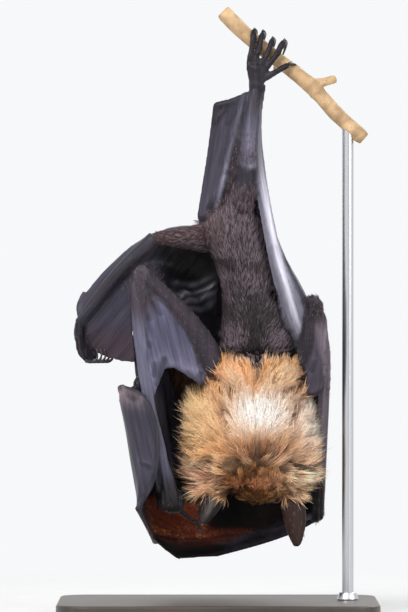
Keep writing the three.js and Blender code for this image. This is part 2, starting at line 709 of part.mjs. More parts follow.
// Skin between two digits. Each row runs from a share of the first digit's length to a share of the
// second's, and its middle is pushed out by its sag.
const LEFT_WEB_ROWS = {
  2: [[0.12, 0.044], [0.35, 0.124], [0.6, 0.213], [0.85, 0.302], [1, 0.356]].map((pair) => [
    ...pair,
    [0, 0.6, -0.6],
  ]),
  3: [
    [0.018, 0.03, [0, 0, 0]],
    [0.111, 0.25, [1, 2, 0]],
    [0.222, 0.37, [0, 4, 0]],
    [0.318, 0.5, [-3, 5, 0]],
    [0.356, 0.61, [-6, 5, 0]],
    [0.4, 0.7, [-2, 2, 0]],
    [0.444, 0.75, [0, -5, -8]],
    [0.596, 0.83, [-8, -9, -5]],
    [0.729, 0.92, [-11, -10, 0]],
    [0.85, 0.965, [-11, -8, 2]],
    [0.985, 1, [-4, -5, 4]],
  ],
  4: [
    [0.03, 0.04, [0, 0, 0]],
    [0.25, 0.21, [4, 3, 0]],
    [0.375, 0.375, [3, 6, 0]],
    [0.5, 0.5, [-4, 7, 0]],
    [0.64, 0.635, [-10, 9, 0]],
    [0.75, 0.75, [-11, 10, -4]],
    [0.87, 0.875, [-5, 8, -12]],
    [1, 1, [6, 6, -14]],
  ],
};
const RIGHT_WEB_SAG = [0, 1, 0];
const RIGHT_WEB_SHARES = [0.1, 0.22, 0.44, 0.54, 0.64, 0.82, 1];
const RIGHT_WEB_ROWS = {
  2: [[0.16, 0.08], [0.5, 0.22], [0.9, 0.38]].map((pair) => [...pair, RIGHT_WEB_SAG]),
  3: RIGHT_WEB_SHARES.map((share) => [share, share, RIGHT_WEB_SAG]),
  4: RIGHT_WEB_SHARES.map((share) => [share, share, RIGHT_WEB_SAG]),
};
const WEB_GRID = {
  left: { 2: [2, 4], 3: [5, 10], 4: [5, 7] },
  right: { 2: [2, 2], 3: [2, 6], 4: [2, 6] },
};

function web(side, a, b) {
  const rows = (side === 'left' ? LEFT_WEB_ROWS : RIGHT_WEB_ROWS)[a];
  const [across, alongBones] = WEB_GRID[side][a];
  return membrane(
    rows.map(([start, end, sag]) => row(onDigit(side, a, start), onDigit(side, b, end), sag)),
    { across, along: alongBones, inset: [WEB_INSET, WEB_INSET], taper: WEB_TAPER },
  );
}

// ---- the bat, piece by piece, in order of precedence ----------------------------------------------
const SIDES = ['left', 'right'];
const sideSign = { left: 1, right: -1 };
const FOOT_CLAWS = [0, 1, 2, 3, 4];
const WEBS = [[2, 3], [3, 4], [4, 5]];

place('perch', perch(), BARK);
place('stand_base', standBase(), STAND_WOOD);
place('stand_rod', standRod(), STAND_STEEL);
for (const side of SIDES) place(`eye_${side}`, ball(eyeCentre(sideSign[side]), EYE_RADIUS, 8, 5), EYE);
place('head', head(), CROWN_FUR);
place('neck', neck(), MANTLE_FUR);
place('trunk', trunk(), BACK_FUR);
place('ear_left', ear([51, -9, 84], [54.8, -15, 50.5], [8, 1, 0.6], [1, 4.5, 0.4]), EAR_SKIN);
place('ear_right', ear([1, -11, 97], [-11.4, -14, 66.4], [8.5, 0, -2], [1, 4.5, 0]), EAR_SKIN);
for (const side of SIDES) {
  place(`thigh_${side}`, thigh(side), BACK_FUR);
  place(`shank_${side}`, shank(side), LIMB_SKIN);
  place(`foot_${side}`, foot(side), LIMB_SKIN);
  for (const i of FOOT_CLAWS) place(`claw_foot_${side}_${i + 1}`, footClaw(side, i), HORN);
}
for (const side of SIDES) {
  place(`forearm_${side}`, forearm(side), LIMB_SKIN);
  place(`upper_arm_${side}`, upperArm(side), BACK_FUR);
  place(`thumb_${side}`, digit([THUMB[side]], 3), LIMB_SKIN);
  place(`claw_thumb_${side}`, claw(THUMB_CLAW[side], 1.6), HORN);
  for (const n of Object.keys(DIGITS[side])) place(`finger_${n}_${side}`, finger(side, n), LIMB_SKIN);
  place(`claw_index_${side}`, claw(INDEX_CLAW[side], 1.1), HORN);
}
for (const side of SIDES) {
  place(`propatagium_${side}`, propatagium(side), WING_SKIN);
  place(`uropatagium_${side}`, tailSkin(side), WING_SKIN);
}
place('plagiopatagium_left_flank', flankSkin(), WING_SKIN);
place('plagiopatagium_left_belly', bellySkin(), WING_SKIN);
place('plagiopatagium_right', rightFlankSkin(), WING_SKIN);
for (const side of SIDES) {
  for (const [a, b] of WEBS) place(`web_${a}_${b}_${side}`, web(side, a, b), WING_SKIN);
}

export default bat;
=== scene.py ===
# Looks of a life-size fruit bat that hangs from a cut perch on a display stand. Metres, +Z up,
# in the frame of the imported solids: the bat's back faces -Y and its left wing is on +X.
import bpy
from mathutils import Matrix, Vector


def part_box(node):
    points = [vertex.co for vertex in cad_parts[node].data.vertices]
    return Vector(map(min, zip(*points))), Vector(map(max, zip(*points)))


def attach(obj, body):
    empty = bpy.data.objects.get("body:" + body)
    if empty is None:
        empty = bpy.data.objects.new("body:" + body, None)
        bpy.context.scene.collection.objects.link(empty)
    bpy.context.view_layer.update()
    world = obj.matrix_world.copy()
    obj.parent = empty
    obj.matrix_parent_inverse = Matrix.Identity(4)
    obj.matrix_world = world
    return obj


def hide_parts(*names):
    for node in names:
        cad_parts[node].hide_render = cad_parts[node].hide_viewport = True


bl_info = {
    "name": "Roosting Fruit Bat",
    "version": (1, 0, 0),
    "blender": (4, 5, 0),
    "location": "3D View > Sidebar > Bat",
    "description": "Skin, coat, eyes, claws, perch and stand of a roosting fruit bat",
    "category": "Add Mesh",
}

import math

import bmesh
import bpy
import numpy as np
from bpy.props import FloatProperty, IntProperty, PointerProperty
from mathutils import Matrix, Vector, noise
from mathutils.bvhtree import BVHTree
from mathutils.kdtree import KDTree

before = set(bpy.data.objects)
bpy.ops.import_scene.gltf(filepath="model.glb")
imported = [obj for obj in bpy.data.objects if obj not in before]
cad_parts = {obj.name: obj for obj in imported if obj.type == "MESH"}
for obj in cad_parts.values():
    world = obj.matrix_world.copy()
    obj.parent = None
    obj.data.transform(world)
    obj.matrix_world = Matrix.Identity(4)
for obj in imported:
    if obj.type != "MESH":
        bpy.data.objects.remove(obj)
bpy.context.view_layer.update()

MM = 0.001
SEED = 7

# The head's own frame, as the solids have it: x to its left ear, y along the muzzle and z to its
# crown.
HEAD_CENTRE = Vector((26.5, 1.0, 97.0)) * MM
MUZZLE_WAY = Vector((0.02, 0.94, -0.34))
EAR_LINE = Vector((0.966, 0.0, -0.259))

NODES = sorted(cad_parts)
SHEET_STARTS = ("web_", "plagiopatagium", "propatagium", "uropatagium")
SHEETS = [n for n in NODES if n.startswith(SHEET_STARTS)]
CLAWS = [n for n in NODES if n.startswith("claw_")]
FLESH = [n for n in NODES if not n.startswith(("claw_", "eye_", "perch", "stand_"))]


def metres(name, description, default, least, most):
    """A setting that is a length."""
    return FloatProperty(
        name=name, description=description, default=default, min=least, max=most,
        unit="LENGTH", subtype="DISTANCE",
    )


def number(name, description, default, least, most, kind=FloatProperty):
    return kind(name=name, description=description, default=default, min=least, max=most)


class Step:
    """What the operators share: each runs its own build function on the scene."""

    def execute(self, context):
        self.build(context.scene)
        return {"FINISHED"}


# ---- colours and markings -----------------------------------------------------------------------
def linear(code):
    """A hex colour as linear red, green and blue."""
    parts = [int(code[i : i + 2], 16) / 255 for i in (0, 2, 4)]
    return np.array([((c + 0.055) / 1.055) ** 2.4 if c > 0.04 else c / 12.92 for c in parts])


WING_SLATE = linear("363440")
FUR_BLACK = linear("2b2427")
FUR_GREY_TIP = linear("a3909a")
GOLD = linear("e2a566")
FRONT_FUR = linear("6a4a33")
# painted shade in the creases between the lobes of the mantle
CREVICE_SHADE = linear("7c421c")
CREAM = linear("ffe2bd")

# Markings of the mantle: middle (x, z) and radii in millimetres, and colour. They apply on the back
# and fade round the sides.
MANTLE_MARKS = [
    ((11, 167), (15, 13), linear("f7b984")),
    ((12, 163), (7, 7), linear("f6cda6")),
    ((45, 166), (14, 12), linear("fbd0a6")),
    ((29, 139), (20, 15), linear("fff9f3")),
    ((-8, 136), (11, 18), linear("f6cb98")),
    ((62, 132), (12, 22), linear("ffe6d6")),
    ((29, 112), (22, 9), linear("8b5431")),
    ((27, 93), (24, 9), linear("87522e")),
    ((-12, 98), (14, 12), linear("eda080")),
    ((-7, 107), (9, 3.6), linear("5a3822")),
    ((48, 109), (8, 3.6), linear("5a341d")),
    ((60, 97), (15, 13), linear("ffd2b0")),
    ((-24, 152), (8, 26), linear("644332")),
]


def smoothstep(low, high, value):
    t = np.clip((value - low) / (high - low), 0.0, 1.0)
    return t * t * (3 - 2 * t)


def bump(value, middle, width):
    """One at the middle and nought a width away, smooth between."""
    return 1 - smoothstep(0.0, 1.0, np.abs(value - middle) / width)


def speckle(points, size, seed=0):
    """Smooth noise from -1 to 1, with lumps about as large as the given size."""
    shift = Vector((seed * 3.7, seed * 1.3, seed * 7.1))
    return np.array([noise.noise(Vector(p) / size + shift) for p in points])


def crevices(points):
    """How deep a point lies in the creases between the lobes of the mantle, from 0 to 1."""
    x, y, z = points.T / MM
    behind = smoothstep(5, -8, y)
    roll = bump(z, 152 + 0.016 * (x - 29) ** 2, 6) * smoothstep(7, 19, np.abs(x - 29))
    parting = bump(x, 27, 4.2) * smoothstep(158, 174, z)
    left_fold = bump(x - 5.5 + (z - 140) * 0.3, 0, 5.5) * bump(z, 141, 18)
    right_fold = bump(x - 51 - (z - 140) * 0.22, 0, 5) * bump(z, 142, 17)
    ear_fold = bump(np.abs(x - 24), 26, 6) * bump(z, 106, 8)
    deepest = np.maximum.reduce([roll, parting, left_fold, right_fold, ear_fold])
    return np.clip(deepest * behind, 0, 1)


def past_nape(points):
    """Where the dark fur of the back has taken over: above a ragged line on the nape."""
    x, y, z = points.T / MM
    top = smoothstep(-1.2, 1.2, z - 178 + 10 * bump(x, 27, 5.5) - 3.0 * speckle(points, 0.005, 31))
    return np.maximum(top, smoothstep(31, 34, np.abs(x - 28.5)) * smoothstep(160, 166, z))


def mantle_colour(points):
    x, y, z = points.T / MM
    colour = np.tile(GOLD, (len(points), 1))
    front = smoothstep(0, 16, y)[:, None]
    for (mx, mz), (rx, rz), mark in MANTLE_MARKS:
        near = np.exp(-(((x - mx) / rx) ** 2 + ((z - mz) / rz) ** 2) * 1.1)[:, None]
        colour += (mark - colour) * np.clip(near * 1.3, 0, 1)
    colour += (FRONT_FUR - colour) * front
    beside = points + np.array([0, 0, 2.5 * MM])  # hairs that hang over a crease are rooted here
    # painted shade: the mantle's creases darkened to deep brown, by how deep they lie
    colour += (CREVICE_SHADE - colour) * (np.maximum(crevices(points), crevices(beside)) * 0.9)[:, None]
    colour += (FUR_BLACK * 0.7 - colour) * past_nape(points)[:, None]
    return colour


def coat_colour(part, points):
    """The coat's colour at roots on the given part, the same for skin and tufts."""
    if part == "neck":
        return mantle_colour(points)
    x, y, z = points.T / MM
    if part == "head":
        face = smoothstep(12, 34, to_head(points)[:, 1])[:, None]
        crown = mantle_colour(points)
        return crown + (linear("4a3020") - crown) * face
    base = FUR_BLACK * (0.5 + 0.5 * smoothstep(205, 245, z))[:, None]
    base += (linear("4d4046") - base) * (smoothstep(258, 290, z) * 0.6)[:, None]
    reddish = smoothstep(250, 272, z) * smoothstep(16, -4, x) * 0.35
    base += (linear("6a4b46") - base) * reddish[:, None]
    return base


# The bare skin's plain colours, by what the parts' names start with; the rest is WING_SLATE.
SKIN_COLOURS = {
    "finger_ thumb_": "312f38",
    "foot_": "1d1a21",
    "shank_left": "5d5a6c",
    "shank_right": "302e36",
    "uropatagium_left": "35323d",
    "uropatagium_right": "403d49",
    "upper_arm_": "352f37",
    "forearm_left": "655b66",
    "forearm_right": "636174",
    "propatagium_left": "443f4a",
    "propatagium_right": "4b4a5d",
    "web_2_3_left": "171516",
    "ear_left": "28150f",
    "ear_right": "1d1817",
}


# ---- mesh helpers -------------------------------------------------------------------------------
SAME_PLACE = 0.01 * MM  # corners of a solid nearer than this are one
FLAT_PAIR = math.radians(50)  # the most that two joined triangles bend
SQUARE_PAIR = math.radians(60)  # the most that they differ from a square


def object_from(name, mesh):
    piece = bpy.data.objects.new(name, mesh)
    bpy.context.scene.collection.objects.link(piece)
    return piece


def mesh_from(bm, name):
    """The bmesh as a mesh, and the bmesh freed."""
    mesh = bpy.data.meshes.new(name)
    bm.to_mesh(mesh)
    bm.free()
    return mesh


def merged_copy(node):
    """A bmesh of a CAD node, its doubles merged and its triangles joined in pairs."""
    bm = bmesh.new()
    bm.from_mesh(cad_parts[node].data)
    bmesh.ops.remove_doubles(bm, verts=bm.verts, dist=SAME_PLACE)
    bmesh.ops.join_triangles(
        bm, faces=bm.faces, angle_face_threshold=FLAT_PAIR, angle_shape_threshold=SQUARE_PAIR
    )
    return bm


def crease_sharp_edges(bm, degrees):
    """Keeps the edges sharper than the angle from being rounded off."""
    layer = bm.edges.layers.float.new("crease_edge")
    for edge in bm.edges:
        if edge.is_manifold and edge.calc_face_angle(0.0) > math.radians(degrees):
            edge[layer] = 1.0


def round_and_grow(piece, levels, grow):
    """Adds modifiers that round the piece, and that grow it by millimetres; returns the second."""
    rounding = piece.modifiers.new("rounding", "SUBSURF")
    rounding.levels = rounding.render_levels = levels
    growing = piece.modifiers.new("growing", "DISPLACE")
    growing.strength = grow * MM
    growing.mid_level = 0.0
    return growing


def evaluated(piece):
    """The piece's mesh with its modifiers applied, and the piece itself removed."""
    graph = bpy.context.evaluated_depsgraph_get()
    mesh = bpy.data.meshes.new_from_object(piece.evaluated_get(graph))
    old = piece.data
    bpy.data.objects.remove(piece)
    bpy.data.meshes.remove(old)
    return mesh


def coordinates(mesh):
    return read_vectors(mesh.vertices, "co")


def normals(mesh):
    return read_vectors(mesh.vertex_normals, "vector")


def read_vectors(collection, name):
    values = np.empty(len(collection) * 3, np.float32)
    collection.foreach_get(name, values)
    return values.reshape(-1, 3).astype(float)


def unit(vectors):
    return vectors / np.maximum(np.linalg.norm(vectors, axis=1), 1e-12)[:, None]


def move_vertices(mesh, co):
    mesh.vertices.foreach_set("co", co.astype(np.float32).ravel())
    mesh.update()


def edge_pairs(mesh):
    pairs = np.empty(len(mesh.edges) * 2, np.int32)
    mesh.edges.foreach_get("vertices", pairs)
    return pairs.reshape(-1, 2)


def blurred(values, pairs, times):
    """Values per vertex averaged with those of their neighbours, several times over."""
    count = len(values)
    degree = np.bincount(pairs.ravel(), minlength=count).astype(float)[:, None]
    out = values.reshape(count, -1).astype(float)
    for _ in range(times):
        total = np.zeros_like(out)
        for k in range(out.shape[1]):
            total[:, k] = np.bincount(pairs[:, 0], out[pairs[:, 1], k], count)
            total[:, k] += np.bincount(pairs[:, 1], out[pairs[:, 0], k], count)
        out = 0.4 * out + 0.6 * total / np.maximum(degree, 1)
    return out.reshape(values.shape)


def set_attribute(mesh, name, kind, values):
    layer = mesh.attributes.new(name, kind, "POINT")
    if kind == "FLOAT_COLOR":
        values = np.column_stack([values, np.ones(len(values))])
    field = {"FLOAT_COLOR": "color", "FLOAT_VECTOR": "vector", "FLOAT": "value"}[kind]
    layer.data.foreach_set(field, values.astype(np.float32).ravel())


def shade_smooth(mesh):
    mesh.polygons.foreach_set("use_smooth", np.ones(len(mesh.polygons), bool))
    mesh.update()


def finished(piece, slot, *nodes):
    """Hangs the piece on the root body, and hides the nodes that it stands in for."""
    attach(piece, "root")
    if nodes:
        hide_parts(*nodes)


# ---- material helpers ---------------------------------------------------------------------------
def new_material(name, **constants):
    material = bpy.data.materials.new(name)
    material.use_nodes = True
    shader = material.node_tree.nodes["Principled BSDF"]
    for socket, value in constants.items():
        shader.inputs[socket.replace("_", " ")].default_value = value
    return material, material.node_tree, shader


def node(tree, kind, settings=None, **links):
    """Adds a node. Settings are its properties; links are its inputs, as values or sockets.

    An input is given by its name, or as i and its number where names repeat or hold a space.
    """
    made = tree.nodes.new(kind)
    for key, value in (settings or {}).items():
        setattr(made, key, value)
    for key, value in links.items():
        numbered = key[0] == "i" and key[1:].isdigit()
        socket = made.inputs[int(key[1:]) if numbered else key]
        if isinstance(value, bpy.types.NodeSocket):
            tree.links.new(value, socket)
        else:
            socket.default_value = value
    return made


def link(tree, shader, **links):
    """Sets inputs of the shader from sockets."""
    for name, value in links.items():
        tree.links.new(value, shader.inputs[name.replace("_", " ")])


def attribute(tree, name, output="Fac"):
    return node(tree, "ShaderNodeAttribute", {"attribute_name": name}).outputs[output]


def object_place(tree):
    return node(tree, "ShaderNodeTexCoord").outputs["Object"]


def cloudy(tree, place, scale, detail, roughness=0.5):
    """A noise mask."""
    inputs = {"Vector": place, "Scale": scale, "Detail": detail, "Roughness": roughness}
    return node(tree, "ShaderNodeTexNoise", None, **inputs).outputs[0]


def worked(tree, operation, *values):
    """The result of one sum on sockets or numbers."""
    inputs = {f"i{index}": value for index, value in enumerate(values)}
    return node(tree, "ShaderNodeMath", {"operation": operation}, **inputs).outputs[0]


def mixed(tree, share, first, second, blend="MIX"):
    kind = {"data_type": "RGBA", "blend_type": blend}
    return node(tree, "ShaderNodeMix", kind, i0=share, i6=first, i7=second).outputs[2]


def ranged(tree, value, low, high, to_low=0.0, to_high=1.0):
    made = node(tree, "ShaderNodeMapRange", None, i0=value, i1=low, i2=high, i3=to_low, i4=to_high)
    return made.outputs[0]


def shaded(tree, colour, shade):
    """The colour times a grey."""
    grey = node(tree, "ShaderNodeCombineColor", None, i0=shade, i1=shade, i2=shade).outputs[0]
    return mixed(tree, 1.0, colour, grey, "MULTIPLY")


def embossed(tree, shader, strength, distance, height):
    made = node(tree, "ShaderNodeBump", None, Strength=strength, Distance=distance, Height=height)
    link(tree, shader, Normal=made.outputs[0])


def streak_group():
    """A mask of streaks that run along y of the vector it is given."""
    found = bpy.data.node_groups.get("Fine streaks")
    if found:
        return found
    group = bpy.data.node_groups.new("Fine streaks", "ShaderNodeTree")
    group.interface.new_socket("Vector", in_out="INPUT", socket_type="NodeSocketVector")
    for name, value in (("Across", 900.0), ("Along", 60.0), ("Detail", 3.0)):
        socket = group.interface.new_socket(name, in_out="INPUT", socket_type="NodeSocketFloat")
        socket.default_value = value
    group.interface.new_socket("Mask", in_out="OUTPUT", socket_type="NodeSocketFloat")
    inputs = group.nodes.new("NodeGroupInput")
    outputs = group.nodes.new("NodeGroupOutput")
    vector, across, along, detail = inputs.outputs[:4]
    scale = node(group, "ShaderNodeCombineXYZ", None, X=across, Y=along, Z=1.0).outputs[0]
    times = {"operation": "MULTIPLY"}
    stretched = node(group, "ShaderNodeVectorMath", times, i0=vector, i1=scale).outputs[0]
    group.links.new(cloudy(group, stretched, 1.0, detail, 0.6), outputs.inputs[0])
    return group


def streaks(tree, vector, across, along, detail=3.0):
    made = tree.nodes.new("ShaderNodeGroup")
    made.node_tree = streak_group()
    tree.links.new(vector, made.inputs[0])
    made.inputs[1].default_value = across
    made.inputs[2].default_value = along
    made.inputs[3].default_value = detail
    return made.outputs[0]


# ---- the skin -----------------------------------------------------------------------------------
# How far the coat's tips stand from the skin, in millimetres, by part.
COAT_DEPTH = {
    "neck": 7.0,
    "head": 2.6,
    "trunk": 2.4,
    "thigh_left": 1.8,
    "thigh_right": 1.8,
    "upper_arm_left": 0.5,
    "upper_arm_right": 0.5,
}
# Lengths in the lines below are in millimetres, and angles in degrees.
SHEET_GROWTH = 0.45  # what sheets and furred parts grow by before they are joined, to close gaps
LIMB_GROWTH = 0.36  # what the bare limbs grow by
SOFT_NODES = ("foot_", "thumb_")  # rounded without a crease at their ends
FLESH_CREASE = 76  # edges sharper than this stay sharp in the flesh
RIM_ANGLE = 55  # a rim of a sheet has an edge sharper than this
RIM_WIDTH = 1.25  # and is narrower than this
RIM_REACH = 1.1  # how far a free rim is pushed outward
BONE_NEAR = RIM_REACH * 2.4  # a rim nearer to a bone than this runs into it
INTO_BONE = 0.6  # by this much

# Sheets with an edge that hangs free, and how far from any other part it does.
FREE_EDGED = ("propatagium_right", "propatagium_left", "web_3_4_left", "uropatagium_left")
FREE_FROM = 3.4

# The lie of the creases by sheet: round the body or flat across it, and the slant in degrees.
CREASE_LIE = {
    "propatagium_right": ("flat", 14),
    "plagiopatagium_right": ("flat", -38),
    "uropatagium_left": ("flat", -11),
    "uropatagium_right": ("flat", -40),
    "propatagium_left": ("flat", -10),
    "plagiopatagium_left_belly": ("round", 8),
    "web_4_5_left": ("round", 24),
    "web_3_4_left": ("round", 52),
    "web_2_3_left": ("round", 80),
    "forearm_right": ("flat", 8),
    "forearm_left": ("flat", -2),
    "shank_right": ("flat", -42),
}
LEAF_SLANT = 12  # of the creases in the folded tip beside the wrist
BODY_AXIS = Vector((18.0, 18.0)) * MM
BODY_GIRTH = 46.0 * MM  # radius at which creases that run round the body are measured
PLEAT_WIDTH, PLEAT_LENGTH = 4.5 * MM, 60.0 * MM

# The wrinkles in the hollow under the right wing: place over the lowest, height and width.
HOLLOW_FOLDS = [(0, 1.0, 2.2), (-5, 0.5, 2.6), (-11, 0.35, 3), (7, 0.4, 3)]

# Heights of the skin's folds, in millimetres.
CREVICE_DEPTH = 3.4
RIM_HEIGHT = 0.8
FOLD_HEIGHT = 1.3
SINEW_EVERY, SINEW_HEIGHT = 3.4, 0.28  # ridges along the forearms


def narrow(face, longest):
    return face.calc_area() / longest < RIM_WIDTH * MM


def push_rims(bm, bones):
    """Moves the narrow rims of a sheet outward in its own plane, so that it runs into the bones."""
    bm.normal_update()
    pinned = bm.verts.layers.float.new("crease_vert")
    pushes = {}
    for face in bm.faces:
        sharpest = max(e.calc_face_angle(0.0) if e.is_manifold else 0.0 for e in face.edges)
        longest = max(e.calc_length() for e in face.edges)
        if sharpest > math.radians(RIM_ANGLE) and narrow(face, longest):
            for vert in face.verts:
                pushes.setdefault(vert, []).append(face.normal.copy())
    for vert, ways in pushes.items():
        way = sum(ways, Vector())
        if way.length > 0.2:
            away = bones.find_nearest(vert.co)[3] / MM
            meets = away < BONE_NEAR
            vert[pinned] = 1.0 if meets else 0.0
            reach = max(away + INTO_BONE, RIM_REACH) if meets else RIM_REACH
            vert.co += way.normalized() * reach * MM


def free_rims():
    """Points along the edges of the sheets that hang free of any bone."""
    found = []
    for name in FREE_EDGED:
        rest = flesh_tree([n for n in FLESH if n != name])[0]
        bm = merged_copy(name)
        for face in bm.faces:
            longest = max(face.edges, key=lambda e: e.calc_length())
            length = longest.calc_length()
            if not narrow(face, length):
                continue
            low, high = (v.co for v in longest.verts)
            spots = (low.lerp(high, t) for t in np.linspace(0, 1, 1 + int(length / MM)))
            found.extend(spot for spot in spots if rest.find_nearest(spot)[3] > FREE_FROM * MM)
        bm.free()
    tree = KDTree(len(found))
    for index, spot in enumerate(found):
        tree.insert(spot, index)
    tree.balance()
    return tree


def rim_distance(rims, co):
    """How far each point is from a free rim, in millimetres."""
    return np.array([rims.find(Vector(p))[2] for p in co]) / MM


def flesh_tree(names):
    """A tree of the named nodes' triangles, and each triangle's node by its place in the list."""
    points, faces, owner = [], [], []
    for index, name in enumerate(names):
        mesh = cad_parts[name].data
        start = len(points)
        points.extend(v.co.copy() for v in mesh.vertices)
        faces.extend([start + i for i in polygon.vertices] for polygon in mesh.polygons)
        owner.extend([index] * len(mesh.polygons))
    return BVHTree.FromPolygons(points, faces), np.array(owner)


def nearest_nodes(co):
    """The node of flesh nearest to each point, as its place in FLESH."""
    tree, owner = flesh_tree(FLESH)
    return np.array([owner[tree.find_nearest(Vector(p))[2]] for p in co])


def is_part(part, *names):
    """Which of the points belong to the named nodes."""
    return np.isin(part, [FLESH.index(n) for n in names])


def joined_flesh():
    """All the flesh as one rough mesh of closed shells, with a group for how much each grows."""
    whole = bmesh.new()
    layer = whole.verts.layers.deform.verify()
    bones = flesh_tree([name for name in FLESH if name not in SHEETS])[0]
    for name in FLESH:
        bm = merged_copy(name)
        if name in SHEETS:
            push_rims(bm, bones)
        if not name.startswith(SOFT_NODES):
            crease_sharp_edges(bm, FLESH_CREASE)
        part = mesh_from(bm, name)
        start = len(whole.verts)
        whole.from_mesh(part)
        bpy.data.meshes.remove(part)
        whole.verts.ensure_lookup_table()
        growth = 1.0 if name in SHEETS or name in COAT_DEPTH else LIMB_GROWTH / SHEET_GROWTH
        for vert in whole.verts[start:]:
            vert[layer][0] = growth
    return mesh_from(whole, "flesh")


def remeshed_skin(settings):
    """The flesh joined into one closed skin, even and smooth."""
    piece = object_from("flesh", joined_flesh())
    piece.vertex_groups.new(name="growth")
    round_and_grow(piece, 2, SHEET_GROWTH).vertex_group = "growth"
    joining = piece.modifiers.new("joining", "REMESH")
    joining.mode = "VOXEL"
    joining.voxel_size = settings.voxel
    easing = piece.modifiers.new("easing", "SMOOTH")
    easing.factor = 0.5
    easing.iterations = settings.smoothing
    return evaluated(piece)


def head_matrix():
    x = EAR_LINE.normalized()
    y = (MUZZLE_WAY - x * MUZZLE_WAY.dot(x)).normalized()
    z = -x.cross(y)
    return Matrix.Translation(HEAD_CENTRE) @ Matrix((x, y, z)).transposed().to_4x4()


def to_head(co):
    inverse = np.array(head_matrix().inverted())
    return (co @ inverse[:3, :3].T + inverse[:3, 3]) / MM


def face_relief(co, on_head):
    """How far the folds of mouth, nostrils, brow and nose stand out or sink in, in millimetres."""
    x, y, z = to_head(co).T
    side = np.abs(x)
    snout = smoothstep(24, 34, y)
    mouth_height = -11.5 + 0.10 * (y - 30)
    relief = -1.1 * bump(z, mouth_height, 1.6) * smoothstep(20, 27, y) * smoothstep(1.0, 3.0, side)
    relief += 0.6 * bump(z, mouth_height + 3.2, 2.6) * snout * smoothstep(2.0, 5.0, side)
    relief -= 1.8 * bump(side, 3.3, 1.9) * bump(z, -3.4, 2.2) * smoothstep(46, 50, y)
    relief += 1.0 * bump(side, 4.6, 2.6) * bump(z, -4.0, 4.4) * smoothstep(44, 49, y)
    relief -= 0.9 * bump(x, 0, 1.3) * smoothstep(44, 49, y) * smoothstep(-9, -5, z)
    relief += 1.3 * bump(side, 14, 5) * bump(y, 17, 8) * bump(z, 9, 5)
    relief -= 0.8 * bump(side, 8, 4) * bump(y, 30, 7) * smoothstep(-6, 0, z)
    return relief * on_head


def eye_ball(name):
    """The middle, radius and axis of an eye."""
    low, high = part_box(name)
    side = 1 if name == "eye_left" else -1
    axis = (head_matrix().to_3x3() @ Vector((side * 0.86, 0.46, 0.22))).normalized()
    return (low + high) / 2, (high - low).length / 2 / math.sqrt(3), axis


def seat_eyelids(co, on_head):
    """Draws the skin round each eye into two lids that lie on the eyeball."""
    for name, side in (("eye_left", 1), ("eye_right", -1)):
        centre, radius, axis = eye_ball(name)
        away = co - np.array(centre)
        distance = np.linalg.norm(away, axis=1)
        axis = np.array(axis)
        along = np.array(head_matrix().to_3x3() @ Vector((-side * 0.42, 0.9, 0.05)).normalized())
        across = np.cross(axis, along)
        way = away / np.maximum(distance, 1e-9)[:, None]
        facing = way @ axis
        lid = smoothstep(0.62, 0.70, np.hypot(way @ along / 1.15, way @ across / 0.85))
        target = radius * (0.86 + 0.24 * lid)
        near = smoothstep(1.75, 1.25, distance / radius) * smoothstep(0.0, 0.3, facing) * on_head
        co = co + way * ((target - distance) * near)[:, None]
    return co


def crease_frame(co, part):
    """Each point's place across and along the creases of its sheet, in metres."""
    around = np.arctan2(co[:, 0] - BODY_AXIS.x, co[:, 1] - BODY_AXIS.y) * BODY_GIRTH
    across, along = co[:, 0].copy(), co[:, 2].copy()

    def slanted(here, side, degrees):
        turn = math.radians(degrees)
        across[here] = side * math.cos(turn) + co[here, 2] * math.sin(turn)
        along[here] = co[here, 2] * math.cos(turn) - side * math.sin(turn)

    for name, (kind, slant) in CREASE_LIE.items():
        here = is_part(part, name)
        slanted(here, around[here] if kind == "round" else co[here, 0], slant)
    strip = is_part(part, "plagiopatagium_left_flank")
    across[strip] = co[strip, 0] - strip_line(co[strip, 2] / MM) * MM
    leaf = is_part(part, "web_3_4_left") & (co[:, 0] < -38 * MM) & (co[:, 2] > 75 * MM)
    slanted(leaf, co[leaf, 0], LEAF_SLANT)
    return across, along


def under_head(co, facing):
    """How far a point of the wrapped wing faces the head from below: its inner side."""
    x, y, z = co.T / MM
    return smoothstep(0.1, -0.35, facing[:, 1]) * smoothstep(110, 96, z) * smoothstep(-12, 4, y)


def rust_share(co, facing):
    """Where the inner side of the wrapped wing shows rust red: its low corner and a band beyond."""
    x, y, z = co.T / MM
    corner = smoothstep(-4, -14, x) * smoothstep(86, 76, z)
    band = smoothstep(61, 56, z) * smoothstep(34, 14, x)
    return np.maximum(corner, band) * under_head(co, facing)


def strip_line(z):
    """The x at each height of the ridge beside the left flank, which carries a painted highlight,
    in millimetres.
    """
    below = np.maximum(0, 326 - z)
    return 29.4 + 0.109 * below + 0.00089 * below**2


def skin_tint(co, facing, part):
    """The bare skin's colour, and the coat's where it is furred."""
    tint = np.tile(WING_SLATE, (len(co), 1))

    def paint(names, code, share=1.0):
        """Lays a colour over the parts whose names start with one of the given words."""
        nodes = [n for n in FLESH if n.startswith(tuple(names.split()))]
        amount = (share * is_part(part, *nodes))[:, None]
        tint[:] = tint + (linear(code) - tint) * amount

    for names, code in SKIN_COLOURS.items():
        paint(names, code)
    x, y, z = co.T / MM
    paint_leg(paint, x, z)
    paint_flank(paint, x, z)
    paint_arms(paint, x, z)
    paint_hollow(paint, co, facing)
    paint_wrapped_wing(paint, co, facing)
    blade = x + 11.4 - (z - 66.4) * 0.405  # across the lit edge of the ear
    blade_only = smoothstep(-1.2, 1, blade) * smoothstep(1.5, -1.5, blade - (z - 67) * 0.26)
    paint("ear_right", "68625f", blade_only)
    for name in COAT_DEPTH:
        if not name.startswith("upper_arm"):
            here = is_part(part, name)
            kind = name if name in ("neck", "head") else "trunk"
            tint[here] = coat_colour(kind, co[here]) * 0.6
    paint_knee(paint, x, z)
    return tint


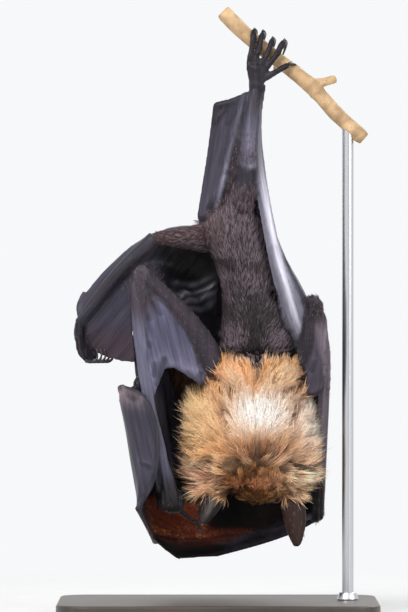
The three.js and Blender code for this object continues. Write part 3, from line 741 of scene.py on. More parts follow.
def paint_leg(paint, x, z):
    """The ankle, the shank with painted shade in a crease below the knee, and the tail membrane
    beside it with its one long fold, which has a painted highlight on its ridge and painted shade
    beside it.
    """
    paint("foot_left", "35323b", smoothstep(388, 370, z) * 0.7)
    paint("shank_left", "2a2830", smoothstep(334, 360, z) * 0.9)
    # painted shade in a crease just below the knee
    paint("shank_left", "2b272c", bump(z, 322, 4))
    paint("uropatagium_left", "25232c", smoothstep(325, 358, z) * 0.7)
    fold = x - 15 + (354 - z) * 0.24
    paint("uropatagium_left", "271c1f", smoothstep(0.5, 3, fold) * smoothstep(346, 320, z) * 0.9)
    # painted shade in a line beside the fold, and a painted highlight along its ridge
    paint("uropatagium_left", "16151a", bump(fold, 2.4, 2) * 0.8)
    paint("uropatagium_left", "8a879c", bump(fold, 0, 1.5) * (0.8 - 0.5 * smoothstep(320, 350, z)))


def paint_knee(paint, x, z):
    """The bare knee above the hair of the thigh, with painted shade in its creases and a painted
    highlight on a wrinkle above them.
    """
    low, high = z + 0.2 * (x - 24), z - 0.3 * (x - 24)
    paint("thigh_left", "35323b", smoothstep(296, 306, z))
    # painted shade in two creases, then a painted highlight on the wrinkle above them
    crease_shade = bump(high, 311, 2.0) + 0.6 * bump(low, 303, 1.6)
    paint("thigh_left shank_left", "17151a", crease_shade * 0.8)
    paint("thigh_left shank_left", "9a97a6", bump(high, 315.5, 2.6) * bump(x, 24, 6) * 0.7)


def paint_flank(paint, x, z):
    """The strip of wing skin beside the left flank, with a painted highlight along its ridge and
    painted shade in a crease beside it.
    """
    strip, off_ridge = "plagiopatagium_left_flank", x - strip_line(z)
    # how strong the painted highlight along the ridge is, fading out low down and high up
    bright = smoothstep(180, 230, z) * (0.9 - 0.75 * smoothstep(286, 334, z))
    paint(strip, "686673", 0.9)
    paint(strip, "393640", smoothstep(300, 340, z) * 0.8)
    # painted shade in a crease beside the ridge, then the painted highlight on the ridge
    paint(strip, "34323b", bump(off_ridge, -5.5, 1.6) * 0.6)
    paint(strip, "dad7e6", bump(off_ridge, 0, 4.0) * bright)


def paint_arms(paint, x, z):
    """The forearms, with painted shade toward the wrists, the membranes before them and the folded
    tip beside the right wrist.
    """
    paint("forearm_right", "453e48", smoothstep(196, 216, z))
    # painted shade on the low ends of both forearms, toward the wrists
    paint("forearm_", "1e1d20", smoothstep(108, 86, z))
    paint("forearm_left", "262127", smoothstep(201, 212, z))
    paint("propatagium_right", "6d6a80", smoothstep(196, 168, z) * 0.7)
    paint("propatagium_right", "352b30", np.exp(-(((x + 49) / 6) ** 2) - ((z - 222) / 13) ** 2))
    tip = smoothstep(-38, -46, x)
    paint("web_3_4_left", "6c6066", smoothstep(142, 160, z) * tip)
    paint("web_3_4_left", "393642", smoothstep(140, 128, z) * tip)


def paint_hollow(paint, co, facing):
    """Painted shade, near black, in the hollow under the right wing, and painted highlights on the
    wrinkles that cross it.
    """
    x, y, z = co.T / MM
    wing, behind = "plagiopatagium_right", smoothstep(0.15, -0.2, facing[:, 1])
    # painted shade: the hollow under the right wing near black
    paint(wing, "0b0a0c", smoothstep(-48, -36, x) * smoothstep(266, 256, z) * behind)
    paint(wing, "3a2c34", smoothstep(-50, -62, x) * smoothstep(212, 192, z) * 0.7)
    # painted highlights on the ridges of the hollow's wrinkles
    paint(wing, "7d7b86", np.clip(hollow_fold(co), 0, 1) * behind * 0.85)


def paint_wrapped_wing(paint, co, facing):
    """The inner side of the wing that wraps the head: painted shade, near black, where it faces the
    head from below, with rust red low down.
    """
    x, y, z = co.T / MM
    inner, below = "web_3_4_left web_4_5_left finger_4_left", under_head(co, facing)
    # painted shade: the inner side near black where it faces the head from below
    paint(inner, "070505", below)
    paint(inner, "662b1d", rust_share(co, facing))
    ember = np.exp(-(((x + 25) / 6) ** 2) - ((z - 72 + 0.5 * (x + 25)) / 4) ** 2)
    paint(inner, "b8572a", ember * 0.8 * below)
    edge = 47.8 + 0.013 * np.minimum(0, x + 20) ** 2 + 0.0034 * np.maximum(0, x + 20) ** 2
    rust = smoothstep(-0.7, 0.7, z - edge) * smoothstep(24, 6, x) * smoothstep(66, 61, z)
    behind = smoothstep(0.1, -0.35, facing[:, 1])
    paint("web_2_3_left finger_3_left", "4a1f15", rust * behind)


def hollow_fold(co):
    """Wrinkles like crescents that cross the hollow under the right wing."""
    x, y, z = co.T / MM
    height = np.zeros(len(co))
    near = (np.abs(x + 17) < 19) & (np.abs(z - 226) < 24)
    x, z, near_co = x[near], z[near], co[near]
    line = 226.3 + 0.026 * np.maximum(0, x + 18) ** 2 + 0.012 * np.maximum(0, -18 - x) ** 2
    line += 3.2 * speckle(near_co, 0.013, 41)
    ends = smoothstep(-35, -28, x) * smoothstep(1, -6, x)
    ends = ends * np.clip(0.75 + 0.9 * speckle(near_co, 0.007, 43), 0, 1)
    folds = sum(high * bump(z, line + drop, wide) for drop, high, wide in HOLLOW_FOLDS)
    height[near] = folds * ends
    return height


class BatSkinSettings(bpy.types.PropertyGroup):
    voxel: metres("Grain", "Size of the cells that join the flesh", 0.00095, 0.0005, 0.003)
    smoothing: number("Smoothing", "How often the joined skin is smoothed", 5, 0, 40, IntProperty)
    faces: number("Triangles", "How many the skin keeps", 192000, 20000, 199000, IntProperty)
    pleats: metres("Pleats", "Height of the pleats in the wing skin", 0.0005, 0.0, 0.002)


def coat_depth(co, part, pairs):
    """How deep the skin lies under the coat's tips, in metres, eased at the edges of the fur."""
    depth = np.zeros(len(co))
    for name, millimetres in COAT_DEPTH.items():
        depth[is_part(part, name)] = millimetres * MM
    furred = depth > 0
    depth *= np.where(is_part(part, "neck"), 1 - 0.63 * smoothstep(164, 186, co[:, 2] / MM), 1)
    depth = blurred(depth, pairs, 14)
    depth = np.where(furred, depth, np.minimum(depth, 0.0004))
    return blurred(depth, pairs, 3)


def pleat_waves(across, along):
    """Long lumps of two sizes that run along the creases."""
    waves = np.column_stack([across / PLEAT_WIDTH, along / PLEAT_LENGTH, np.zeros(len(across))])
    lumps = np.array([noise.noise(Vector(p)) for p in waves])
    finer = np.array([noise.noise(Vector((p[0] * 2.3 + 9, p[1] * 2, 4))) for p in waves])
    return lumps + 0.5 * finer


def skin_relief(co, out, part, pairs, on_head, rims, pleat_height):
    """How far the skin's folds, rims and pleats stand out, in metres."""
    relief = face_relief(co, on_head) * MM
    relief -= crevices(co) * is_part(part, "neck") * CREVICE_DEPTH * MM
    relief += RIM_HEIGHT * smoothstep(2.9, 1.3, rim_distance(rims, co)) * MM
    hollow = is_part(part, "plagiopatagium_right") * smoothstep(0, -0.4, out[:, 1])
    relief += hollow_fold(co) * hollow * FOLD_HEIGHT * MM
    feet = is_part(part, "foot_left", "foot_right")
    lumps = 0.55 * speckle(co[feet], 0.0042, 51) + 0.2 * speckle(co[feet], 0.0016, 52)
    relief[feet] += lumps * MM
    across, along = crease_frame(co, part)
    arms = blurred(is_part(part, "forearm_right", "forearm_left").astype(float), pairs, 4)
    relief += arms * np.cos(across / MM * 2 * math.pi / SINEW_EVERY) * SINEW_HEIGHT * MM
    sheet = blurred(is_part(part, *SHEETS).astype(float), pairs, 6)
    return relief + sheet * pleat_waves(across, along) * pleat_height


def colour_skin(mesh, rims):
    """Writes the skin's colours, masks and crease directions as attributes."""
    co, facing, pairs = coordinates(mesh), normals(mesh), edge_pairs(mesh)
    part = nearest_nodes(co)
    across, along = crease_frame(co, part)
    set_attribute(mesh, "crease_place", "FLOAT_VECTOR", np.column_stack([across, along, co[:, 1]]))
    tint = skin_tint(co, facing, part)
    from_rim = rim_distance(rims, co)
    # darker along the free rims of the sheets, with a painted highlight in a band a little inside
    # them
    tint *= (1 - 0.6 * smoothstep(2.6, 1.4, from_rim) + 0.55 * bump(from_rim, 3.6, 1.3))[:, None]
    # painted shade where the flesh of two different nodes meets, softened by blurring
    seam_shade = np.zeros(len(co))
    seam_shade[pairs[part[pairs[:, 0]] != part[pairs[:, 1]]].ravel()] = 1.0
    tint *= (1 - 0.55 * np.clip(blurred(seam_shade, pairs, 9), 0, 0.5))[:, None]
    set_attribute(mesh, "tint", "FLOAT_COLOR", blurred(tint, pairs, 2))
    fur = is_part(part, *COAT_DEPTH).astype(float)
    matt = np.maximum(fur, under_head(co, facing) * is_part(part, *SHEETS))
    set_attribute(mesh, "furred", "FLOAT", blurred(matt, pairs, 2))
    inner = is_part(part, "web_3_4_left", "web_4_5_left")
    set_attribute(mesh, "netted", "FLOAT", inner * rust_share(co, facing))


def build_skin(scene):
    settings = scene.bat_skin
    mesh = remeshed_skin(settings)
    piece = object_from("skin", mesh)
    triangles = sum(len(p.vertices) - 2 for p in mesh.polygons)
    co, pairs, rims = coordinates(mesh), edge_pairs(mesh), free_rims()
    part = nearest_nodes(co)
    co -= normals(mesh) * coat_depth(co, part, pairs)[:, None]
    move_vertices(mesh, co)
    on_head = blurred(is_part(part, "head").astype(float), pairs, 4)
    out = normals(mesh)
    co += out * skin_relief(co, out, part, pairs, on_head, rims, settings.pleats)[:, None]
    move_vertices(mesh, seat_eyelids(co, on_head))
    if triangles > settings.faces:
        thinning = piece.modifiers.new("thinning", "DECIMATE")
        thinning.ratio = settings.faces / triangles
        mesh = evaluated(piece)
        piece = object_from("skin", mesh)
    colour_skin(mesh, rims)
    shade_smooth(mesh)
    mesh.materials.append(skin_material())
    finished(piece, "wing_skin", *FLESH)


def skin_material():
    material, tree, shader = new_material(
        "Bat skin",
        Specular_IOR_Level=0.22,
        Sheen_Weight=0.04,
        Sheen_Roughness=0.4,
        Sheen_Tint=(0.75, 0.76, 0.95, 1),
        IOR=1.4,
    )
    place, body = attribute(tree, "crease_place", "Vector"), object_place(tree)
    broad = streaks(tree, place, 260.0, 14.0, 2.0)
    fine = streaks(tree, place, 1100.0, 45.0, 3.0)
    grain = cloudy(tree, body, 1500.0, 3.0)
    cloud = cloudy(tree, body, 45.0, 4.0)
    mottle = cloudy(tree, body, 520.0, 5.0, 0.7)
    edges = {"feature": "DISTANCE_TO_EDGE"}
    cells = node(tree, "ShaderNodeTexVoronoi", edges, Vector=body, Scale=330.0).outputs[0]

    tint = attribute(tree, "tint", "Color")
    colour = shaded(tree, tint, ranged(tree, broad, 0.3, 0.72, 0.66, 1.4))
    colour = shaded(tree, colour, ranged(tree, fine, 0.3, 0.7, 0.82, 1.2))
    colour = mixed(tree, ranged(tree, cloud, 0.5, 0.8, 0.0, 0.3), colour, (0.05, 0.032, 0.03, 1))
    meshes = ranged(tree, cells, 0.0, 0.35, 1.0, 0.35)
    net = worked(tree, "MULTIPLY", ranged(tree, mottle, 0.47, 0.66), meshes)
    net = worked(tree, "MULTIPLY", net, attribute(tree, "netted"))
    glowing = ranged(tree, cloud, 0.45, 0.62)
    ember = mixed(tree, glowing, (0.20, 0.065, 0.025, 1), (0.66, 0.24, 0.08, 1))
    matt = worked(tree, "MULTIPLY", attribute(tree, "furred"), 0.35)
    rough = worked(tree, "ADD", ranged(tree, fine, 0.3, 0.7, 0.3, 0.48), matt)
    link(tree, shader, Base_Color=mixed(tree, net, colour, ember), Roughness=rough)
    height = worked(tree, "MULTIPLY_ADD", broad, 1.4, fine)
    height = worked(tree, "MULTIPLY_ADD", grain, 0.25, height)
    embossed(tree, shader, 0.6, 0.0006, height)
    return material


class BAT_OT_skin(Step, bpy.types.Operator):
    """Build the one skin that covers the whole body and both wings"""

    bl_idname = "bat.build_skin"
    bl_label = "Skin"
    build = staticmethod(build_skin)


# ---- the coat -----------------------------------------------------------------------------------
RING_TURNS = (math.pi / 2, math.pi * 11 / 6, math.pi * 7 / 6)  # the three sides of a hair
RING_WIDTHS = (1.0, 0.92, 0.7, 0.5)  # of a hair, from its root on; its tip is a point
FLATNESS = 0.7  # how thick a hair is for its width
MOST_TRIANGLES = 190000  # in one piece of coat
SOFTNESS = 0.62  # how far a hair is shaded as the skin beneath it is
ROOT_DEPTH = 0.25 * MM  # of a hair in the skin
# How much hairs and locks differ: shares of the length, width and brightness, and degrees.
HAIR_LENGTHS, LOCK_LENGTHS = (0.78, 1.18), (0.86, 1.12)
HAIR_WIDTHS, HAIR_SHADES = (0.8, 1.2), (0.8, 1.18)
LIFT_STRAY, DROOP_STRAY = 6, 7
PATCH = 0.0028  # how much of the unwrap one hair takes


class Roots:
    """Where the hairs of one piece of coat grow: places, and the skin's normals there."""

    def __init__(self, place, normal):
        self.place, self.normal = place, normal

    def only(self, keep):
        return Roots(self.place[keep], self.normal[keep])


class SkinSampler:
    """Scatters roots over the finished skin, and holds the coat's settings."""

    def __init__(self, skin, settings):
        self.settings = settings
        mesh = skin.data
        mesh.calc_loop_triangles()
        triangles = np.empty(len(mesh.loop_triangles) * 3, np.int32)
        mesh.loop_triangles.foreach_get("vertices", triangles)
        self.triangles = triangles.reshape(-1, 3)
        self.co, self.normal = coordinates(mesh), normals(mesh)
        self.part = nearest_nodes(self.co)
        a, b, c = (self.co[self.triangles[:, k]] for k in range(3))
        self.area = np.linalg.norm(np.cross(b - a, c - a), axis=1) / 2
        self.middle = (a + b + c) / 3

    def scatter(self, names, per_mm2, rng, thickness_at=None):
        """Roots over the named parts, per_mm2 of them to a square millimetre at full thickness."""
        share = self.area * is_part(self.part[self.triangles[:, 0]], *names)
        if thickness_at is not None:
            share = share * thickness_at(self.middle)
        count = int(share.sum() / MM**2 * per_mm2)
        pick = rng.choice(len(share), size=count, p=share / share.sum())
        u, v = rng.random((2, count))
        turned = u + v > 1
        u[turned], v[turned] = 1 - u[turned], 1 - v[turned]
        w = np.column_stack([1 - u - v, u, v])
        corners = self.triangles[pick]
        place = np.einsum("ij,ijk->ik", w, self.co[corners])
        normal = unit(np.einsum("ij,ijk->ik", w, self.normal[corners]))
        return Roots(place, normal)


def along_skin(vectors, normal):
    """The part of each vector that lies along the skin, one unit long."""
    return unit(vectors - normal * (vectors * normal).sum(1)[:, None])


def lock_leaders(place, per_clump, rng):
    """The root that leads the lock that each root belongs to."""
    leaders = rng.choice(len(place), size=max(1, len(place) // per_clump), replace=False)
    tree = KDTree(len(leaders))
    for leader in leaders:
        tree.insert(Vector(place[leader]), int(leader))
    tree.balance()
    return np.array([tree.find(Vector(p))[1] for p in place])


def grow_hairs(roots, lie, style, lock, rng):
    """The points along each hair from its root on, how far along each is, and the hair's way."""
    count, steps = len(roots.place), style["rings"] - 1
    spread = rng.normal(0, 1, (count, 3)) * style.get("scatter", 0.12)
    lead = rng.normal(0, 1, (count, 3))[lock] * style.get("wander", 0.18)
    way = along_skin(lie + spread + lead, roots.normal)
    length = style["length"] * MM * rng.uniform(*HAIR_LENGTHS, count)
    length = length * rng.uniform(*LOCK_LENGTHS, count)[lock]
    stray = rng.normal(0, LIFT_STRAY, (2, count))
    lift = np.radians(style["lift"] + stray[0] + stray[1][lock])
    droop = np.radians(style["droop"] + rng.normal(0, DROOP_STRAY, count))
    place = roots.place - roots.normal * ROOT_DEPTH
    offset = roots.place - roots.place[lock]
    offset -= roots.normal * (offset * roots.normal).sum(1)[:, None]
    spots, shares = [place.copy()], [0.0]
    for step in range(steps):
        t = (step + 0.5) / steps
        angle = (lift * (1 - t) + droop * t)[:, None]
        heading = roots.normal * np.sin(angle) + way * np.cos(angle)
        place = place + heading * (length / steps)[:, None]
        shares.append((step + 1) / steps)
        spots.append(place - offset * style.get("clump", 0.6) * shares[-1] ** 1.4)
    return spots, shares, way


def lay_coat(name, roots, lie, style, colours, slot, unwrap, rng):
    """One piece of coat: a tapered three-sided hair at every root, all joined into one mesh.

    style holds numbers, or arrays with one for each hair: length and width (millimetres), lift and
    droop (degrees out of the skin at the root and at the tip), rings (bends and ends of a hair),
    per_clump (hairs to a lock), clump (how far their tips gather), scatter and wander (how far
    hairs and locks stray from the lie), and streaky (how much locks differ in brightness).
    """
    count, rings = len(roots.place), style["rings"]
    lock = lock_leaders(roots.place, style.get("per_clump", 12), rng)
    spots, shares, way = grow_hairs(roots, lie, style, lock, rng)
    half = style["width"] * MM * rng.uniform(*HAIR_WIDTHS, count) / 2
    locks = 1 + rng.uniform(-1, 1, count)[lock] * style.get("streaky", 0.14)
    bright = (rng.uniform(*HAIR_SHADES, count) * locks)[:, None]
    side = unit(np.cross(way, roots.normal))
    root_tint, tip_tint = colours
    points, tints, facing = [], [], []
    for ring, (spot, share) in enumerate(zip(spots, shares)):
        tint = (root_tint * (1 - share) + tip_tint * share) * bright
        if ring == rings - 1:
            points.append(spot[:, None, :])
            tints.append(tint[:, None, :])
            facing.append(roots.normal[:, None, :])
            continue
        up = np.cross(side, unit(spots[ring + 1] - spot))
        wide = (half * RING_WIDTHS[ring])[:, None]
        across, thick = side * wide, up * wide * FLATNESS
        corners = [spot + across * math.cos(t) + thick * math.sin(t) for t in RING_TURNS]
        points.append(np.stack(corners, 1))
        own = [side * math.cos(t) + up * math.sin(t) for t in RING_TURNS]
        facing.append(np.stack([roots.normal * SOFTNESS + out * (1 - SOFTNESS) for out in own], 1))
        tints.append(np.repeat(tint[:, None, :], 3, 1))
    mesh = hair_mesh(name, np.concatenate(points, 1), rings)
    mesh.normals_split_custom_set_from_vertices(unit(np.concatenate(facing, 1).reshape(-1, 3)))
    patch = np.concatenate(hair_faces(rings)[1]) * PATCH
    uv = (unwrap(roots.place)[:, None, :] + patch[None, :, :]).reshape(-1, 2)
    layer = mesh.uv_layers.new(name="OFBake")
    layer.data.foreach_set("uv", uv.astype(np.float32).ravel())
    tints = np.concatenate(tints, 1).reshape(-1, 3)
    set_attribute(mesh, "coat", "FLOAT_COLOR", np.clip(tints, 0, 1))
    mesh.materials.append(coat_material())
    finished(object_from(name, mesh), slot)


def hair_mesh(name, points, rings):
    """One mesh of all the hairs, from the points of each."""
    count, per_hair = points.shape[:2]
    corners = hair_faces(rings)[0]
    loops = ((np.arange(count) * per_hair)[:, None] + np.concatenate(corners)[None, :]).ravel()
    sizes = np.tile([len(c) for c in corners], count)
    mesh = bpy.data.meshes.new(name)
    mesh.vertices.add(count * per_hair)
    mesh.vertices.foreach_set("co", points.astype(np.float32).ravel())
    mesh.loops.add(len(loops))
    mesh.loops.foreach_set("vertex_index", loops.astype(np.int32))
    mesh.polygons.add(len(sizes))
    starts = np.concatenate([[0], np.cumsum(sizes)[:-1]])
    mesh.polygons.foreach_set("loop_start", starts.astype(np.int32))
    mesh.update(calc_edges=True)
    mesh.validate()
    shade_smooth(mesh)
    return mesh


def lay_in_pieces(name, roots, lie, style, colours, slot, unwrap, rng):
    """Lays a thick coat as pieces side by side, none with too many triangles."""
    order = np.argsort(unwrap(roots.place)[:, 0])
    pieces = math.ceil(len(order) * hair_triangles(style["rings"]) / MOST_TRIANGLES)
    for index, chosen in enumerate(np.array_split(order, pieces)):
        own_style = {k: (v[chosen] if isinstance(v, np.ndarray) else v) for k, v in style.items()}
        own_colours = tuple(c[chosen] for c in colours)
        own_roots, own_name = roots.only(chosen), f"{name}_{index + 1}"
        lay_coat(own_name, own_roots, lie[chosen], own_style, own_colours, slot, unwrap, rng)


def hair_triangles(rings):
    """The triangles of one hair: its base, its sides between rings and its point."""
    return 1 + 6 * (rings - 2) + 3


def hair_faces(rings):
    """The corners of one hair's faces, and each corner's place on its patch of the unwrap."""
    corners, lattice = [[2, 1, 0]], [np.array([[0.66, -0.5], [0.33, -0.5], [0.0, -0.5]])]
    for ring in range(rings - 1):
        low, high = ring / (rings - 1) - 0.5, (ring + 1) / (rings - 1) - 0.5
        for k in range(3):
            a, b = ring * 3 + k, ring * 3 + (k + 1) % 3
            left, right = k / 3 - 0.5, (k + 1) / 3 - 0.5
            if ring == rings - 2:
                corners.append([a, b, ring * 3 + 3])
                lattice.append(np.array([[left, low], [right, low], [(left + right) / 2, high]]))
            else:
                corners.append([a, b, b + 3, a + 3])
                lattice.append(np.array([[left, low], [right, low], [right, high], [left, high]]))
    return [np.array(c) for c in corners], lattice


def unwrap_round(axis_from, axis_to):
    """An unwrap of a long body round its own axis: the turn, and the way along."""
    start, end = Vector(axis_from), Vector(axis_to)
    way = (end - start).normalized()
    side = way.orthogonal().normalized()
    other = way.cross(side)

    def unwrapped(place):
        away = place - np.array(start)
        turn = np.arctan2(away @ np.array(other), away @ np.array(side)) / (2 * math.pi) + 0.5
        far = away @ np.array(way) / (end - start).length
        return np.column_stack([0.02 + 0.96 * turn, 0.02 + 0.96 * np.clip(far, 0, 1)])

    return unwrapped


def coat_material():
    found = bpy.data.materials.get("Bat coat")
    if found:
        return found
    material, tree, shader = new_material("Bat coat", Roughness=0.55, Specular_IOR_Level=0.25)
    fleck = ranged(tree, cloudy(tree, object_place(tree), 700.0, 2.0), 0.3, 0.7, 0.78, 1.22)
    link(tree, shader, Base_Color=shaded(tree, attribute(tree, "coat", "Color"), fleck))
    return material


class BatCoatSettings(bpy.types.PropertyGroup):
    mantle_length: metres("Mantle length", "Length of the mantle's hair", 0.0125, 0.002, 0.04)
    mantle_density: number("Mantle density", "Mantle hairs to a square millimetre", 1.7, 0.05, 3.0)
    back_length: metres("Back length", "Length of the back's hair", 0.0058, 0.001, 0.02)
    back_density: number("Back density", "Back hairs to a square millimetre", 1.9, 0.05, 3.0)
    head_density: number("Head density", "Head hairs to a square millimetre", 1.5, 0.05, 4.0)


MANTLE_FOCUS = np.array([26.0, -22.0, 97.0]) * MM  # the hair of the mantle lies away from here


def drift(points, size, seed):
    """A smooth field of vectors, with swirls about as large as the given size."""
    return np.column_stack([speckle(points, size, seed + k) for k in range(3)])


def mantle_lie(place):
    """Up the nape and back, outward at both sides, and down and outward beside the head."""
    x, y, z = place.T / MM
    away = unit((place - MANTLE_FOCUS) * np.array([1.2, 0.25, 1.0]))
    nape = smoothstep(150, 160, z) * smoothstep(40, 28, np.abs(x - 28))
    parted = 0.7 * np.tanh((x - 27) / 3) * np.exp(-(((x - 27) / 8) ** 2))
    up = np.column_stack([(x - 28) * 0.008 + parted, np.zeros(len(x)), np.ones(len(x))])
    away += (up - away) * nape[:, None]
    return unit(away + drift(place, 0.011, 2) * 0.5)


def build_mantle(sampler, rng):
    def thickness(p):
        return 0.3 + 0.7 * smoothstep(14, 2, p[:, 1] / MM)  # thinner on the side out of sight

    roots = sampler.scatter(["neck"], sampler.settings.mantle_density, rng, thickness)
    x, y, z = roots.place.T / MM
    fold = crevices(roots.place)
    outer = smoothstep(24, 42, np.abs(x - 24)) * smoothstep(160, 150, z)
    chest = smoothstep(-6, -14, x) * bump(z, 150, 26)
    beard = smoothstep(2, -10, x) * bump(z, 95, 20)
    nape = smoothstep(152, 160, z)
    dark = past_nape(roots.place)
    guard = rng.random(len(x)) > 0.94
    style = {
        "length": sampler.settings.mantle_length / MM * (1 - 0.55 * fold) * (1 - 0.5 * dark)
        * (0.85 + 0.4 * outer + 0.35 * guard + 0.5 * chest + 0.5 * beard - 0.2 * nape),
        "width": np.where(guard, 0.3, 0.4),
        "lift": 42 + 10 * outer + 8 * guard,
        "droop": 12 + 16 * outer,
        "clump": 0.68,
        "per_clump": 26,
        "rings": 4,
        "scatter": 0.15,
        "wander": 0.24,
        "streaky": np.clip(0.1 + 0.8 * bump(z, 100, 28) + 0.45 * outer, 0, 0.9),
    }
    base = mantle_colour(roots.place)
    light = base.mean(1, keepdims=True)
    brown = np.clip(1.2 - light * 2.6, 0, 1) * (1 - dark[:, None])
    frost = (dark > 0.5) & (z > 170) & (z < 188) & (rng.random(len(x)) < 0.5)
    low = smoothstep(120, 100, z)[:, None]
    root = base**1.3 * (0.62 + 0.3 * light - 0.25 * low * smoothstep(62, 46, x)[:, None])
    tip = base + (CREAM - base) * (0.12 + 0.26 * low) * (1 - dark[:, None]) + base * 0.3 * brown
    tip[guard] = tip[guard] + (linear("ffe9cf") - tip[guard]) * 0.4 * (1 - dark[guard, None])
    tip[frost] = linear("d6b9b4")
    lay_in_pieces(
        "mantle_coat", roots, mantle_lie(roots.place), style, (root, tip), "mantle_fur",
        unwrap_round((0.024, -0.004, 0.08), (0.028, 0.0, 0.19)), rng,
    )


def grizzled(base, tip, share, strong, rng):
    """Root and tip colours of a dark coat in which a share of the hairs end pale."""
    amount = np.where(rng.random(len(base)) < share, strong, 0.12)[:, None]
    return base * 0.5, base + (tip - base) * amount


def build_back(sampler, rng):
    def thickness(p):
        return 0.25 + 0.75 * smoothstep(22, 12, p[:, 1] / MM)

    roots = sampler.scatter(["trunk"], sampler.settings.back_density, rng, thickness)
    x, y, z = roots.place.T / MM
    lie = np.column_stack([(x - 20) * 0.006, np.zeros(len(x)), np.ones(len(x))])
    lie[:, 0] += 0.5 * smoothstep(24, 38, x)
    lie += drift(roots.place, 0.012, 11) * 0.4
    parting = bump(x, 25, 5.5) * smoothstep(240, 205, z)
    style = {
        "length": sampler.settings.back_length / MM * (1 - 0.4 * parting),
        "width": 0.3,
        "lift": 18.0,
        "droop": 7.0,
        "clump": 0.4,
        "per_clump": 7,
        "rings": 3,
        "scatter": 0.16,
        "wander": 0.14,
    }
    edge = smoothstep(-14, -2, x - 0.1 * (250 - z)) + smoothstep(246, 262, z)
    shade = (1 - 0.7 * parting) * np.clip(0.45 + 0.55 * edge, 0, 1)
    base = coat_colour("trunk", roots.place) * shade[:, None]
    patchy = 0.45 + 0.7 * speckle(roots.place, 0.012, 21)
    patchy *= 0.15 + 0.85 * smoothstep(205, 245, z)
    patchy += 0.9 * smoothstep(206, 194, z) * bump(np.abs(x - 26), 14, 12)
    colours = grizzled(base, FUR_GREY_TIP, patchy * (1 - 0.8 * parting), 0.75, rng)
    lay_in_pieces(
        "back_coat", roots, lie, style, colours, "back_fur",
        unwrap_round((0.028, 0.0, 0.18), (0.012, 0.0, 0.295)), rng,
    )


def build_limb_coats(sampler, rng):
    """Short hair on the thighs, and thin fuzz on the upper arms."""
    ends = {
        "thigh_left": ((14, -3, 277), (21, -13, 318)),
        "thigh_right": ((-2, 0, 266), (-46, -9, 265)),
        "upper_arm_left": ((48, 8, 150), (69, -28, 222)),
        "upper_arm_right": ((4, -2, 160), (-53, -21, 241)),
    }
    for name, (start, end) in ends.items():
        arm = name.startswith("upper_arm")
        roots = sampler.scatter([name], 0.55 if arm else 1.5, rng)
        if name == "thigh_left":
            bare = smoothstep(294, 305, roots.place[:, 2] / MM)  # toward the knee
            roots = roots.only(rng.random(len(bare)) > bare)
        way = np.array(end, float) - np.array(start)
        lie = np.tile(way / np.linalg.norm(way), (len(roots.place), 1))
        knee = np.linalg.norm(roots.place / MM - np.array(end), axis=1)
        style = {
            "length": 2.4 if arm else 2.0 + 2.6 * smoothstep(4, 26, knee),
            "width": 0.22 if arm else 0.32,
            "lift": 16.0 if arm else 22.0,
            "droop": 8.0,
            "rings": 3,
            "per_clump": 8,
        }
        colours = grizzled(coat_colour("trunk", roots.place), FUR_GREY_TIP, 0.4, 0.6, rng)
        lay_coat(
            f"{name}_coat", roots, lie, style, colours, "back_fur",
            unwrap_round(np.array(start) * MM, np.array(end) * MM), rng,
        )


def build_head_coat(sampler, rng):
    roots = sampler.scatter(["head"], sampler.settings.head_density, rng)
    x, y, z = to_head(roots.place).T
    bare = smoothstep(46, 50, y)
    for name in ("eye_left", "eye_right"):
        low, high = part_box(name)
        near = np.linalg.norm(roots.place - np.array((low + high) / 2), axis=1)
        bare = np.maximum(bare, smoothstep(8.2, 7.2, near / MM))
    roots = roots.only(rng.random(len(x)) > bare)
    x, y, z = to_head(roots.place).T
    matrix = np.array(head_matrix().to_3x3())
    back = np.column_stack([x * 0.012, np.full(len(x), -1.0), z * 0.012]) @ matrix.T
    style = {
        "length": 1.3 + 6.4 * smoothstep(38, 0, y),
        "width": 0.3 + 0.1 * smoothstep(30, 4, y),
        "lift": 18 + 14 * smoothstep(20, -5, y),
        "droop": 8.0,
        "rings": 3,
        "per_clump": 22,
        "clump": 0.6,
        "streaky": 0.15 + 0.65 * smoothstep(30, 0, y),
    }
    base = coat_colour("head", roots.place)
    colours = (base**1.3 * 0.6, base * 1.15 + CREAM * 0.05)
    nose = head_matrix() @ Vector((0, 0.055, -0.005))
    nape = head_matrix() @ Vector((0, -0.03, 0.0))
    lay_coat("head_coat", roots, back, style, colours, "crown_fur", unwrap_round(nape, nose), rng)


def build_fuzz(sampler, rng):
    """Thin short hair on the elbows, the upper shank and the skin beside the thigh."""
    names = [
        "forearm_left", "forearm_right", "shank_left", "uropatagium_left",
        "propatagium_right", "ear_left", "ear_right", "shank_right", "plagiopatagium_right",
    ]

    def thickness(p):
        x, y, z = p.T / MM
        elbows = smoothstep(22, 4, np.hypot(x + 54, z - 236))
        elbows += smoothstep(18, 4, np.hypot(x - 66, z - 214))
        leg = smoothstep(346, 312, z) * smoothstep(2, 14, x) * (z > 260)
        shoulder = smoothstep(200, 176, z) * smoothstep(150, 160, z) * smoothstep(-24, -8, x) * 0.7
        ears = (z < 84) * 0.1
        return np.clip(elbows * 0.8 + leg + shoulder + ears, 0, 1)

    roots = sampler.scatter(names, 1.3, rng, thickness)
    lie = np.tile([0.0, 0.0, 1.0], (len(roots.place), 1))
    lie[roots.place[:, 2] < 0.09] = [0.0, 0.0, -1.0]
    style = {"length": 2.8, "width": 0.22, "lift": 20.0, "droop": 10.0, "rings": 3, "per_clump": 7}
    base = np.tile(linear("3d353a"), (len(roots.place), 1))
    lay_coat(
        "fuzz_coat", roots, lie, style, grizzled(base, FUR_GREY_TIP, 0.4, 0.7, rng), "back_fur",
        unwrap_round((0.02, 0.0, 0.04), (0.02, 0.0, 0.35)), rng,
    )


